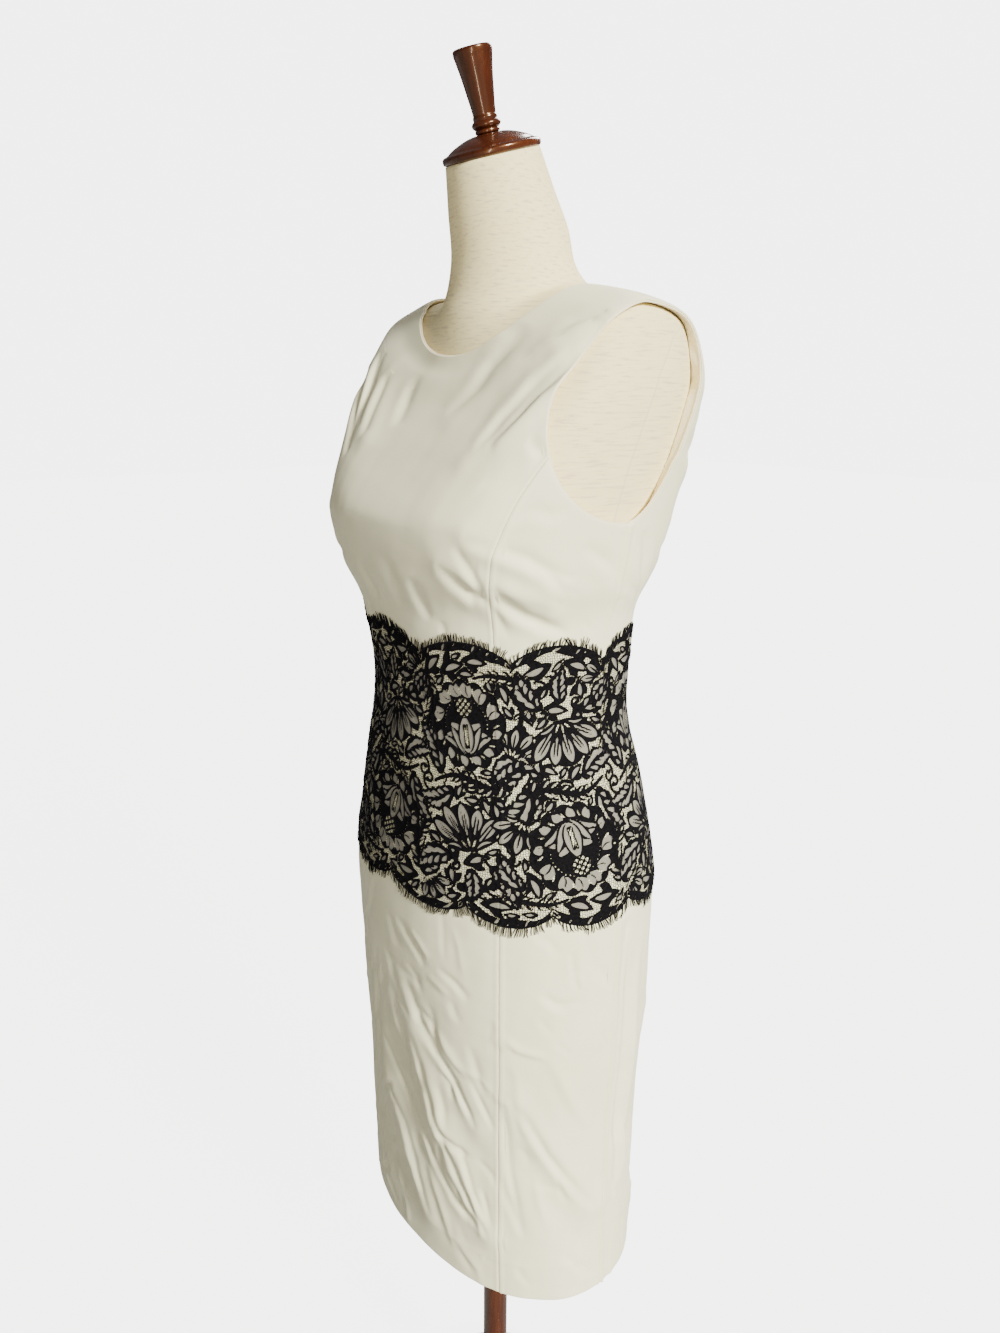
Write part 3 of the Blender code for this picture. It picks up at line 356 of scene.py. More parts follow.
def foldRise(angle, height):
    perDegree = folds["metresPerDegree"]
    angle, height = np.broadcast_arrays(np.asarray(angle, float), np.asarray(height, float))
    place = np.stack([wrapped(angle) * perDegree, height], -1)
    total = np.zeros(height.shape)
    for angle1, height1, angle2, height2, rise, spread in folds["large"]:
        start = np.array([angle1 * perDegree, height1])
        run = np.array([angle2 * perDegree, height2]) - start
        part = np.clip((place - start) @ run / (run @ run), 0, 1)
        away = np.linalg.norm(place - start - part[..., None] * run, axis=-1)
        total += rise * np.exp(-((away / spread) ** 2))
    return total


def creaseRise(angle, height):
    perDegree, beside = folds["metresPerDegree"], folds["shoulder"]
    place = np.stack([wrapped(angle) * perDegree, height], -1)
    total = np.zeros(height.shape)
    for points, depth, spread, lean in folds["fine"]:
        corners = np.array([(a * perDegree, h) for a, h in points])
        low, high = corners.min(0) - 4 * spread, corners.max(0) + 4 * spread
        near = np.all((place > low) & (place < high), axis=-1)
        if not near.any():
            continue
        spot = place[near]
        nearest = np.full(len(spot), 1e9)
        side, along = np.zeros(len(spot)), np.zeros(len(spot))
        runs = np.diff(corners, axis=0)
        lengths = np.linalg.norm(runs, axis=1)
        for i, run in enumerate(runs):
            part = np.clip((spot - corners[i]) @ run / (run @ run), 0, 1)
            offset = spot - corners[i] - part[:, None] * run
            away = np.linalg.norm(offset, axis=1)
            closer = away < nearest
            nearest = np.where(closer, away, nearest)
            side = np.where(closer, run[0] * offset[:, 1] - run[1] * offset[:, 0], side)
            along = np.where(closer, (lengths[:i].sum() + part * lengths[i]) / lengths.sum(), along)
        signed = np.sign(side) * nearest
        profile = np.exp(-((signed / spread) ** 2)) * (1 - lean * np.tanh(signed / (0.5 * spread)))
        fromShoulder = (signed + beside["away"] * spread) / (beside["spread"] * spread)
        shoulder = -beside["rise"] * np.exp(-(fromShoulder**2))
        taper = np.clip(np.sin(math.pi * along), 0, 1) ** folds["taper"]
        total[near] += folds["fineGain"] * depth * taper * (profile + shoulder)
    return folds["deepest"] * np.tanh(total / folds["deepest"])


def rippleRise(angle, height):
    # slight unevenness all over, so that no stretch of cloth is dead smooth
    a = np.radians(angle)
    wideSize, midSize, smallSize = folds["ripple"]
    wide = np.sin(5 * a + 9 * height + 1.0) * np.sin(31 * height + 2.3 * np.sin(3 * a))
    mid = np.sin(11 * a - 47 * height + 0.7) * np.sin(73 * height + 7 * a + 2.0)
    small = np.sin(29 * a + 120 * height) * np.sin(171 * height - 17 * a + 1.3)
    return wideSize * wide + midSize * mid + smallSize * small


def hemRise(height):
    away = (height - folds["hem"]["z"]) / folds["hem"]["spread"]
    return folds["hem"]["rise"] * np.exp(-away * away)


def seamRise(angle, station):
    # the rise beside the seams, and how far creases are let run into them
    ridge, calm, bulks = folds["seamRidge"], folds["seamCalm"], folds["seamBulk"]
    total, free = np.zeros(angle.shape), np.ones(angle.shape)
    half = abs(wrapped(angle))
    for seam, top, bulk in (
        (princessAngle(station), dressCut["princessTop"], bulks["princess"]),
        (90.0, dressCut["underarm"], bulks["side"]),
        (180.0, dressCut["neckline"], bulks["back"]),
    ):
        away = abs(half - seam) * folds["metresPerDegree"]
        rise = bulk * np.where(half > seam, ridge["outer"], ridge["inner"])
        swell = rise * np.exp(-(((away - ridge["away"]) / ridge["spread"]) ** 2))
        stiff = 1 - calm["share"] * np.exp(-((away / calm["spread"]) ** 2))
        total += np.where(station < top, swell, 0.0)
        free *= np.where(station < top, stiff, 1.0)
    return total, free


def clothAt(angle, station, outward=0.0):
    base = faceAt(angle, station)
    height = base[..., 2]
    angle, station = np.broadcast_to(angle, height.shape), np.broadcast_to(station, height.shape)
    ridge, free = seamRise(angle, station)
    lift = foldRise(angle, height) + outward + free * creaseRise(angle, height)
    lift = lift + rippleRise(angle, height) + hemRise(height) + ridge
    return base + normalAt(angle, station) * lift[..., None]


class Graph:
    # adds nodes to the tree of a material or of the world, and gives back what each of them puts out
    def __init__(self, tree):
        self.tree = tree

    def plug(self, socket, value):
        if isinstance(value, bpy.types.NodeSocket):
            self.tree.links.new(value, socket)
        elif socket.type == "RGBA":
            socket.default_value = (*value, 1.0)
        else:
            socket.default_value = value

    def add(self, kind, output, inputs, **settings):
        made = self.tree.nodes.new("ShaderNode" + kind)
        for key, value in settings.items():
            setattr(made, key, value)
        for key, value in inputs.items():
            self.plug(made.inputs[key], value)
        return made.outputs[output]

    def maths(self, operation, *values):
        return self.add("Math", "Value", dict(enumerate(values)), operation=operation)

    def scaled(self, value, factor):
        return self.maths("MULTIPLY", value, factor)

    def place(self, scale=(1, 1, 1), turn=(0, 0, 0), onMap=True):
        # the piece's own map in metres, or else Object coordinates
        if onMap:
            source = self.add("UVMap", "UV", {}, uv_map="cloth")
        else:
            source = self.add("TexCoord", "Object", {})
        return self.add("Mapping", "Vector", {"Vector": source, "Scale": scale, "Rotation": turn})

    def noise(self, place, scale, detail=3.0, roughness=0.55, distortion=0.0):
        inputs = {"Vector": place, "Scale": scale, "Detail": detail, "Roughness": roughness}
        return self.add("TexNoise", "Fac", {**inputs, "Distortion": distortion})

    def ramp(self, value, stops):
        # a stop is a position and a colour, or one number for a grey
        made = self.tree.nodes.new("ShaderNodeValToRGB")
        elements = made.color_ramp.elements
        while len(elements) < len(stops):
            elements.new(0.5)
        for element, (position, colour) in zip(elements, stops):
            element.position = position
            element.color = (*colour, 1.0) if isinstance(colour, tuple) else (colour, colour, colour, 1.0)
        self.plug(made.inputs["Fac"], value)
        return made.outputs["Color"]

    def mixed(self, factor, first, second):
        # sockets 0, 6 and 7 are the factor and the two colours, and 2 is the mixed colour
        return self.add("Mix", 2, {0: factor, 6: first, 7: second}, data_type="RGBA")

    def attribute(self, name):
        return self.add("Attribute", "Fac", {}, attribute_name=name)

    def ranged(self, value, low, high, atLow=0.0, atHigh=1.0):
        inputs = {"Value": value, "From Min": low, "From Max": high, "To Min": atLow, "To Max": atHigh}
        return self.add("MapRange", "Result", inputs)

    def threads(self, place, perMetre, direction):
        scale = perMetre * math.pi / 10  # a band is 2 pi / 20 units at scale 1
        inputs = {"Vector": place, "Scale": scale, "Distortion": 1.2, "Detail": 1.0, "Detail Scale": 2.0}
        return self.add("TexWave", "Fac", inputs, wave_type="BANDS", bands_direction=direction)

    def weave(self, place, perMetre):
        warp, weft = (self.threads(place, perMetre, direction) for direction in "XY")
        return self.maths("MAXIMUM", warp, weft)

    def bump(self, shader, height, strength, distance):
        inputs = {"Strength": strength, "Distance": distance, "Height": height}
        self.plug(shader.inputs["Normal"], self.add("Bump", "Normal", inputs))


def newMaterial(name, settings):
    material = bpy.data.materials.new(name)
    material.use_nodes = True
    graph = Graph(material.node_tree)
    shader = material.node_tree.nodes["Principled BSDF"]
    for key, value in settings.items():
        graph.plug(shader.inputs[key], value)
    return material, graph, shader


ivoryCloth = {
    "light": (0.900, 0.868, 0.610),
    "shade": (0.862, 0.822, 0.550),
    "roughness": 0.82,
    "threadsPerMetre": 1500,
}

creamLining = {
    "light": (0.890, 0.805, 0.600),
    "shade": (0.850, 0.745, 0.520),
    "roughness": 0.55,
    "threadsPerMetre": 2600,
}


def clothMaterial(name, look):
    settings = {"Roughness": look["roughness"], "Sheen Weight": 0.12, "Sheen Roughness": 0.45,
                "Specular IOR Level": 0.25}
    material, graph, shader = newMaterial(name, settings)
    place = graph.place()
    broad, fine = graph.noise(place, 9.0, detail=2.0), graph.noise(place, 900.0, detail=1.0)
    tone = graph.maths("ADD", graph.scaled(broad, 0.8), graph.scaled(fine, 0.2))
    colour = graph.ramp(tone, [(0.30, look["shade"]), (0.66, look["light"])])
    graph.plug(shader.inputs["Base Color"], colour)
    graph.bump(shader, graph.weave(place, look["threadsPerMetre"]), strength=0.35, distance=0.00012)
    return material


linenCloth = {
    "light": (0.940, 0.820, 0.450),
    "mid": (0.900, 0.770, 0.400),
    "slub": (0.660, 0.550, 0.360),
    "fleck": (0.500, 0.400, 0.270),
    "column": (0.860, 0.790, 0.580),
    # painted shade: a darker colour laid along the cover's side seams for the shade in their groove
    "seam": (0.600, 0.520, 0.400),
    "threadsPerMetre": 900,
}


def linenMaterial():
    look = linenCloth
    settings = {"Roughness": 0.9, "Sheen Weight": 0.08, "Specular IOR Level": 0.2}
    material, graph, shader = newMaterial("naturalLinen", settings)
    slubs = graph.noise(graph.place((1.0, 14.0, 1.0)), 34.0, detail=4.0, roughness=0.60, distortion=0.12)
    flecks = graph.noise(graph.place((1.0, 10.0, 1.0)), 95.0, detail=2.0, roughness=0.5, distortion=0.1)
    columns = graph.noise(graph.place((8.0, 1.0, 1.0)), 60.0, detail=3.0)
    stains = graph.noise(graph.place(), 14.0, detail=2.0)
    away = graph.maths("ABSOLUTE", graph.attribute("coverSeam"))  # in millimetres, from the side seams
    # a strip of painted shade along the side seams, over the groove the bump cuts below
    seam = graph.ranged(away, 1.8, 0.2)
    fleckMask = graph.ramp(flecks, [(0.66, 0.0), (0.76, 1.0)])
    colour = graph.ramp(slubs, [(0.34, look["slub"]), (0.46, look["mid"]), (0.62, look["light"])])
    for mask, share, tint in (
        (fleckMask, 0.28, "fleck"),
        (columns, 0.16, "column"),
        (stains, 0.20, "mid"),
        (seam, 0.40, "seam"),
    ):
        colour = graph.mixed(graph.scaled(mask, share), colour, look[tint])
    graph.plug(shader.inputs["Base Color"], colour)
    weave = graph.weave(graph.place(), look["threadsPerMetre"])
    relief = graph.maths("ADD", weave, graph.scaled(slubs, 1.2))
    relief = graph.maths("SUBTRACT", relief, graph.scaled(seam, 2.0))
    graph.bump(shader, relief, strength=0.35, distance=0.00025)
    return material


redBrownWood = {
    "dark": (0.022, 0.0049, 0.0019),
    "mid": (0.044, 0.0100, 0.0037),
    "light": (0.086, 0.0215, 0.0064),
    "varnish": {"Coat Weight": 0.4, "Coat Roughness": 0.06, "Specular IOR Level": 0.5,
                "Specular Tint": (1.0, 0.60, 0.32)},
}


def woodMaterial(name, axisTilt):
    look = redBrownWood
    material, graph, shader = newMaterial(name, look["varnish"])
    grain = graph.place((1.0, 1.0, 0.10), (math.radians(-axisTilt), 0, 0), onMap=False)
    streaks = graph.noise(grain, 260.0, detail=4.0, roughness=0.6, distortion=0.3)
    broad = graph.noise(grain, 46.0, detail=2.0, roughness=0.5, distortion=0.5)
    both = graph.maths("ADD", graph.scaled(streaks, 0.5), graph.scaled(broad, 0.5))
    colour = graph.ramp(both, [(0.32, look["dark"]), (0.50, look["mid"]), (0.68, look["light"])])
    graph.plug(shader.inputs["Base Color"], colour)
    graph.plug(shader.inputs["Roughness"], graph.ramp(streaks, [(0.3, 0.34), (0.7, 0.22)]))
    graph.bump(shader, streaks, strength=0.10, distance=0.00006)
    return material


def metalMaterial():
    material, graph, shader = newMaterial("paleZipMetal", {"Metallic": 0.85, "Specular IOR Level": 0.5})
    wear = graph.noise(graph.place(onMap=False), 700.0, detail=3.0)
    colour = graph.ramp(wear, [(0.35, (0.62, 0.60, 0.54)), (0.65, (0.80, 0.78, 0.72))])
    graph.plug(shader.inputs["Base Color"], colour)
    graph.plug(shader.inputs["Roughness"], graph.ramp(wear, [(0.3, 0.42), (0.7, 0.28)]))
    graph.bump(shader, wear, strength=0.1, distance=0.0001)
    return material


ivoryMaterial = clothMaterial("ivoryCloth", ivoryCloth)
liningMaterial = clothMaterial("creamLining", creamLining)
naturalLinen = linenMaterial()
uprightWood = woodMaterial("redBrownWood", 0)
leaningWood = woodMaterial("redBrownWoodLeaning", 16)
zipMetal = metalMaterial()
print("materials made")


def addObject(name, data):
    made = bpy.data.objects.new(name, data)
    bpy.context.scene.collection.objects.link(made)
    return made


def finishPiece(piece, material, nodes, body=dressBody):
    piece.data.materials.clear()
    piece.data.materials.append(material)
    piece.data.shade_smooth()
    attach(piece, body)
    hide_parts(*nodes)
    return piece


def pieceFromMesh(name, bm):
    mesh = bpy.data.meshes.new(name)
    bm.to_mesh(mesh)
    bm.free()
    return addObject(name, mesh)


mergeWithin = 1e-6


def gridPiece(name, columns, rows, placeOf, closed=False):
    # A grid laid out by placeOf(column, row), which gives points and a map in metres.
    # A closed grid's last column is merged into its first.
    bm = bmesh.new()
    bmesh.ops.create_grid(bm, x_segments=columns, y_segments=rows, size=1)
    bm.verts.ensure_lookup_table()
    flat = np.array([v.co for v in bm.verts])
    column = np.rint((flat[:, 0] + 1) / 2 * columns).astype(int)
    row = np.rint((flat[:, 1] + 1) / 2 * rows).astype(int)
    points, flatMap = placeOf(column, row)
    uv = bm.loops.layers.uv.new("cloth")
    flatMap = flatMap.tolist()
    for face in bm.faces:
        for loop in face.loops:
            loop[uv].uv = flatMap[loop.vert.index]
    for vert, point in zip(bm.verts, points.tolist()):
        vert.co = point
    if closed:
        bmesh.ops.remove_doubles(bm, verts=bm.verts, dist=mergeWithin)
    return pieceFromMesh(name, bm)


turnedEdge = {
    "radius": 0.0004,
    "steps": 4,
    "gap": 0.00005,
    "slopeStep": 0.004,  # share of a panel over which the way past its edge is measured
}


def edgeTurn(index, count, unders):
    # place from 0 to 1 of a column or row of the grid, and how far it lies over the edge at either end
    half, steps = math.pi * turnedEdge["radius"], turnedEdge["steps"]
    extra = steps + 1
    curl = [half * i / steps for i in range(extra)]
    before = np.array([*curl, half + unders[0]])[np.clip(extra - index, 0, extra)]
    after = np.array([*curl, half + unders[1]])[np.clip(index - extra - count, 0, extra)]
    return np.clip((index - extra) / count, 0, 1), before, after


def rolled(over):
    # shift past the edge and depth below the face, for a distance over it
    radius = turnedEdge["radius"]
    half = math.pi * radius
    turn = np.clip(over / radius, 0, math.pi)
    shift = np.where(over <= half, radius * np.sin(turn), half - over)
    return shift, radius * (1 - np.cos(turn))


def panelPiece(name, columns, rows, anglesOf, unders, nodes, sign=1):
    extra = turnedEdge["steps"] + 1
    drawIn = turnedEdge["radius"] + turnedEdge["gap"] / 2

    def placeOf(column, row):
        u, overLeft, overRight = edgeTurn(column, columns, unders[:2])
        v, overLow, overHigh = edgeTurn(row, rows, unders[2:])
        angle, station = anglesOf(u, v)
        angle = angle * sign
        point = clothAt(angle, station)

        def beside(du, dv):
            angle, station = anglesOf(np.clip(u + du, 0, 1), np.clip(v + dv, 0, 1))
            return faceAt(angle * sign, station)

        step = turnedEdge["slopeStep"]
        acrossWay = unit(beside(step, 0) - beside(-step, 0))
        upWay = unit(beside(0, step) - beside(0, -step))
        depth = np.zeros(len(u))
        for over, atEdge, way in (
            (overLeft, u == 0, -acrossWay), (overRight, u == 1, acrossWay),
            (overLow, v == 0, -upWay), (overHigh, v == 1, upWay),
        ):
            shift, below = rolled(over)
            point = point + way * np.where(atEdge, shift - drawIn, 0.0)[:, None]
            depth = np.maximum(depth, np.where(atEdge, below, 0.0))
        point = point - normalAt(angle, station) * depth[:, None]
        return point, np.stack([angle * folds["metresPerDegree"], point[:, 2]], -1)

    piece = gridPiece(name, columns + 2 * extra, rows + 2 * extra, placeOf)
    return finishPiece(piece, ivoryMaterial, nodes=nodes)


panels = {
    "lowerRows": 300,
    "armholeRows": 84,
    "shoulderRows": 26,
    "frontColumns": 110,
    "sideFrontColumns": 54,
    "backColumns": 100,
    # columns lie closer towards the seams: sine angles in degrees, and a power for the back
    "frontBunch": 60.0,
    "sideFrontBunch": 50.0,
    "backBunch": 1.12,
    # how far each panel turns under at its left, right, lower and upper edge
    "frontUnders": (0.004, 0.004, 0.038, 0.004),
    "sideFrontUnders": (0.008, 0.008, 0.038, 0.004),
    "backUnders": (0.004, 0.008, 0.038, 0.004),
}


def lowerStations():
    underarmRing = dressCut["rings"][int(dressCut["underarm"])]
    heights = np.linspace(dressCut["rings"][0][0], underarmRing[0], panels["lowerRows"] + 1)
    return stationAt(90.0, heights)


def rowsUp(firstTurn, scale):
    turns = np.linspace(firstTurn, 180, panels["armholeRows"] + 1)
    shoulder = np.linspace(dressCut["armholeTop"], dressCut["neckline"], panels["shoulderRows"] + 1)
    return np.concatenate([lowerStations() * scale, armholeStation(turns)[1:], shoulder[1:]])


def tableAt(table, part):
    return np.interp(part * (len(table) - 1), np.arange(len(table)), table)


def bunched(u, degrees, reach):
    turn = np.radians(degrees)
    return reach * np.sin(turn * (2 * u - 1)) / np.sin(turn)


def frontCentre():
    top = dressCut["princessTop"]
    stations = rowsUp(armholeTurn(top), top / dressCut["underarm"])

    def anglesOf(u, v):
        station = tableAt(stations, v)
        edge = np.where(station <= top, princessAngle(station), armholeAngle(station, "front"))
        return bunched(u, panels["frontBunch"], edge), station

    return panelPiece("frontCentre", panels["frontColumns"], len(stations) - 1, anglesOf,
                      panels["frontUnders"], ["front_centre"])


def sideFront(side, sign):
    lower = lowerStations() / dressCut["underarm"]
    firstTurn = armholeTurn(dressCut["princessTop"])

    def anglesOf(u, v):
        u = 0.5 + bunched(u, panels["sideFrontBunch"], 0.5)
        topStation = armholeStation(firstTurn * (1 - u))
        topAngle, topSeam = armholeAngle(topStation, "front"), princessAngle(topStation)
        across = np.where(u <= 0, 0.0, (topAngle - topSeam) / (90.0 - topSeam))
        station = tableAt(lower, v) * topStation
        seam = princessAngle(station)
        return seam + (90.0 - seam) * across, station

    return panelPiece("sideFront" + side.capitalize(), panels["sideFrontColumns"], panels["lowerRows"],
                      anglesOf, panels["sideFrontUnders"], ["side_front_" + side], sign)


def backPanel(side, sign):
    stations = rowsUp(0.0, 1.0)

    def anglesOf(u, v):
        station = tableAt(stations, v)
        edge = armholeAngle(station, "back")
        return edge + (180.0 - edge) * u ** panels["backBunch"], station

    return panelPiece("back" + side.capitalize(), panels["backColumns"], len(stations) - 1, anglesOf,
                      panels["backUnders"], ["back_" + side], sign)


centrePiece = frontCentre()
sidePieces = [sideFront("left", 1), sideFront("right", -1)]
backPieces = [backPanel("left", 1), backPanel("right", -1)]
print("dress panels made")


formShape = {
    "depth": 0.0050,  # how far the form lies under the cloth
    # angle, station, angle spread, station spread, extra depth
    "hollows": [
        (90, 9.0, 30, 0.85, 0.0090),
        (-90, 9.0, 30, 0.85, 0.0090),
        (140, 9.1, 26, 1.1, 0.0060),
        (-140, 9.1, 26, 1.1, 0.0060),
        (0, 9.2, 26, 0.9, 0.0030),
        (180, 5.2, 50, 0.9, 0.0050),
    ],
    "bottomZ": 0.780,
    # centre y and z, radius across, radius along, tilt
    "neckRings": [
        (0.0075, 1.3850, 0.0660, 0.0625, 20),
        (0.0082, 1.4000, 0.0590, 0.0570, 18),
        (0.0082, 1.4190, 0.0545, 0.0540, 16),
        (-0.0031, 1.4590, 0.0472, 0.0472, 16),
    ],
    "neckTop": (0.0, -0.0126, 1.4922),
    "neckTopRadius": 0.0414,
    "neckLean": 16.0,
    # height and depth of the side seams of the linen cover
    "coverSeam": [(0.780, -0.012), (1.1921, -0.0078), (1.2365, 0.0017), (1.2762, 0.0144), (1.3122, 0.0279),
                  (1.3418, 0.0464), (1.3600, 0.0800), (1.4000, 0.5000)],
    "slopeRings": 12,  # the neck carries on from the slope of this many rings
    "mapStep": 0.0064,
    "columns": 160,
    "bodyRows": 130,
    "neckRows": 46,
}


def formDepth(angle, station):
    depth = np.full(np.broadcast(angle, station).shape, formShape["depth"])
    for hollowAngle, hollowStation, angleSpread, stationSpread, extra in formShape["hollows"]:
        across = wrapped(angle - hollowAngle)
        away = (across / angleSpread) ** 2 + ((station - hollowStation) / stationSpread) ** 2
        depth = depth + extra * np.exp(-away)
    return depth


facings = {
    "width": 0.026,
    # the rolled edge that shows past the cloth: distance under the cloth, and depth below its face
    "roll": [(0.0008, 0.0009), (0.0001, 0.0009), (-0.0006, 0.0010), (-0.0011, 0.0013), (-0.0013, 0.0017),
             (-0.0011, 0.0021), (-0.0005, 0.0024), (0.0003, 0.0027), (0.0012, 0.0030)],
    "seam": 0.0004,
    "leanIn": 0.45,
    "offForm": 0.0006,
    "zipGapAngle": 0.25,
    "mapStep": 0.0034,
    "columns": 240,
    "rows": 22,
}


def stepAlong(angle, station, angleWay, stationWay, distance):
    # the place a distance away, found in a few rounds
    def moved(factor):
        return angle + angleWay * factor, np.clip(station + stationWay * factor, 0, dressCut["neckline"])

    start = faceAt(angle, station)
    factor = np.full(len(start), faceSteps["firstTry"])
    for _ in range(faceSteps["rounds"]):
        run = np.linalg.norm(faceAt(*moved(factor)) - start, axis=-1)
        factor = factor * distance / np.maximum(run, 1e-9)
    return moved(factor)


def facingPoints(edge, ways, row, sign=1):
    # from the rolled edge a facing leans in until it lies just off the form
    roll = np.array(facings["roll"])
    last = len(roll) - 1
    distance = np.interp(row, [*range(last + 1), facings["rows"]], [*roll[:, 0], facings["width"]])
    depth = np.interp(row, range(last + 1), roll[:, 1])
    slope = np.clip((row - last) / (facings["rows"] - last) / facings["leanIn"], 0, 1)
    angle, station = stepAlong(*edge, *ways, np.maximum(distance, facings["seam"]))
    rest = formDepth(angle, station) - facings["offForm"] - depth
    depth = depth + rest * slope * slope * (3 - 2 * slope)
    point = clothAt(angle * sign, station, -depth)

    def inside(far):
        angle, station = stepAlong(*edge, *ways, np.full(len(row), facings["seam"] * far))
        return faceAt(angle * sign, station)

    outward = unit(inside(1) - inside(4))
    return point + outward * np.maximum(facings["seam"] - distance, 0)[:, None], distance


def armholeFacing(side, sign):
    columns, rows = facings["columns"], facings["rows"]

    def placeOf(column, row):
        turn = column * 360.0 / columns % 360.0
        station = armholeStation(np.where(turn > 180, 360 - turn, turn))
        edge = np.where(turn > 180, armholeAngle(station, "back"), armholeAngle(station, "front"))
        ways = ((edge - 90.0) / dressCut["armholeFront"]["swing"], station - armholeMiddle)
        point, distance = facingPoints((edge, station), ways, row, sign)
        return point, np.stack([column * facings["mapStep"], distance], -1)

    piece = gridPiece("armholeFacing" + side.capitalize(), columns, rows, placeOf, closed=True)
    return finishPiece(piece, liningMaterial, nodes=["armhole_facing_" + side])


def neckFacing():
    columns, rows = facings["columns"], facings["rows"]
    end = 180.0 - facings["zipGapAngle"]

    def placeOf(column, row):
        angle = -end + 2 * end * column / columns
        station = np.full(len(angle), dressCut["neckline"])
        point, distance = facingPoints((angle, station), (0.0, -1.0), row)
        return point, np.stack([column * facings["mapStep"], distance], -1)

    piece = gridPiece("neckFacing", columns, rows, placeOf)
    return finishPiece(piece, liningMaterial, nodes=["neck_facing"])


facingPieces = [armholeFacing("left", 1), armholeFacing("right", -1), neckFacing()]
print("facings made")


# Places in the pattern are (across, up) in millimetres: across is round the body from the middle of a
# scallop, and up is from the lower notches. Distances are below zero inside a shape.
lacePattern = {
    "height": 224.5,
    "halo": 0.9,
    # leaves: root, tip, width, bend, teeth on each side
    "leaves": [
        ((36, 112), (72, 146), 25, 8, 6),
        ((-28, 116), (-58, 158), 24, -8, 6),
        ((-14, 104), (-56, 92), 24, 7, 6),
        ((24, 104), (60, 74), 24, -8, 6),
        ((-16, 44), (-54, 20), 24, -6, 5),
        ((22, 42), (44, 4), 22, 6, 5),
        ((40, 84), (70, 112), 20, -6, 5),
        ((-34, 76), (-10, 36), 18, 6, 5),
        ((46, 202), (66, 168), 19, 5, 5),
        ((-46, 208), (-64, 180), 18, -5, 4),
        ((4, 36), (2, 2), 19, 3, 5),
    ],
    # fronds: points along the rib, length of the slits, number of slits
    "fronds": [
        ([(-50, 206), (-40, 182), (-50, 150), (-38, 122)], 13, 9),
        ([(44, 122), (22, 112), (-8, 118), (-36, 108)], 13, 9),
        ([(-6, 16), (22, 22), (40, 48), (42, 82)], 13, 8),
        ([(62, 200), (46, 212), (28, 214), (10, 210)], 10, 7),
    ],
    # buds: middle, radius, turn in degrees, petals
    "buds": [
        ((-2, 72), 25, 104, 5),
        ((52, 152), 17, 60, 4),
        ((-34, 8), 14, -50, 4),
    ],
    # tendrils: start, first direction in degrees, length, curl in degrees, width
    "tendrils": [
        ((28, 96), 20, 52, 440, 2.6),
        ((-34, 98), 200, 48, -420, 2.4),
        ((-4, 122), 250, 38, 300, 2.6),
        ((16, 46), -60, 46, 400, 2.4),
        ((56, 126), 100, 40, -400, 2.4),
        ((-56, 124), 90, 36, 360, 2.4),
        ((-22, 36), 60, 34, -400, 2.2),
    ],
    "tendrilSteps": 22,
    # heads: middle, radius, turn in degrees
    "heads": [((0, 166), 42, -95)],
    # a window every pitch, and a ring where the edge is within notch of its lowest
    "border": {"width": 8.2, "pitch": 9.5, "notch": 6.5, "margin": 0.9, "windowAt": 4.6, "dashAt": 3.0,
               "ringAt": 4.3, "ringRadius": 2.1, "ringHalfWidth": 0.5, "dashHalfWidth": 0.42},
}


class Field:
    # distances to the clothwork, and to the half-stitch windows and the openings in it
    def __init__(self, across, up):
        self.across = across
        self.up = up
        self.body, self.window, self.opening = (np.full(across.shape, 50.0) for _ in range(3))


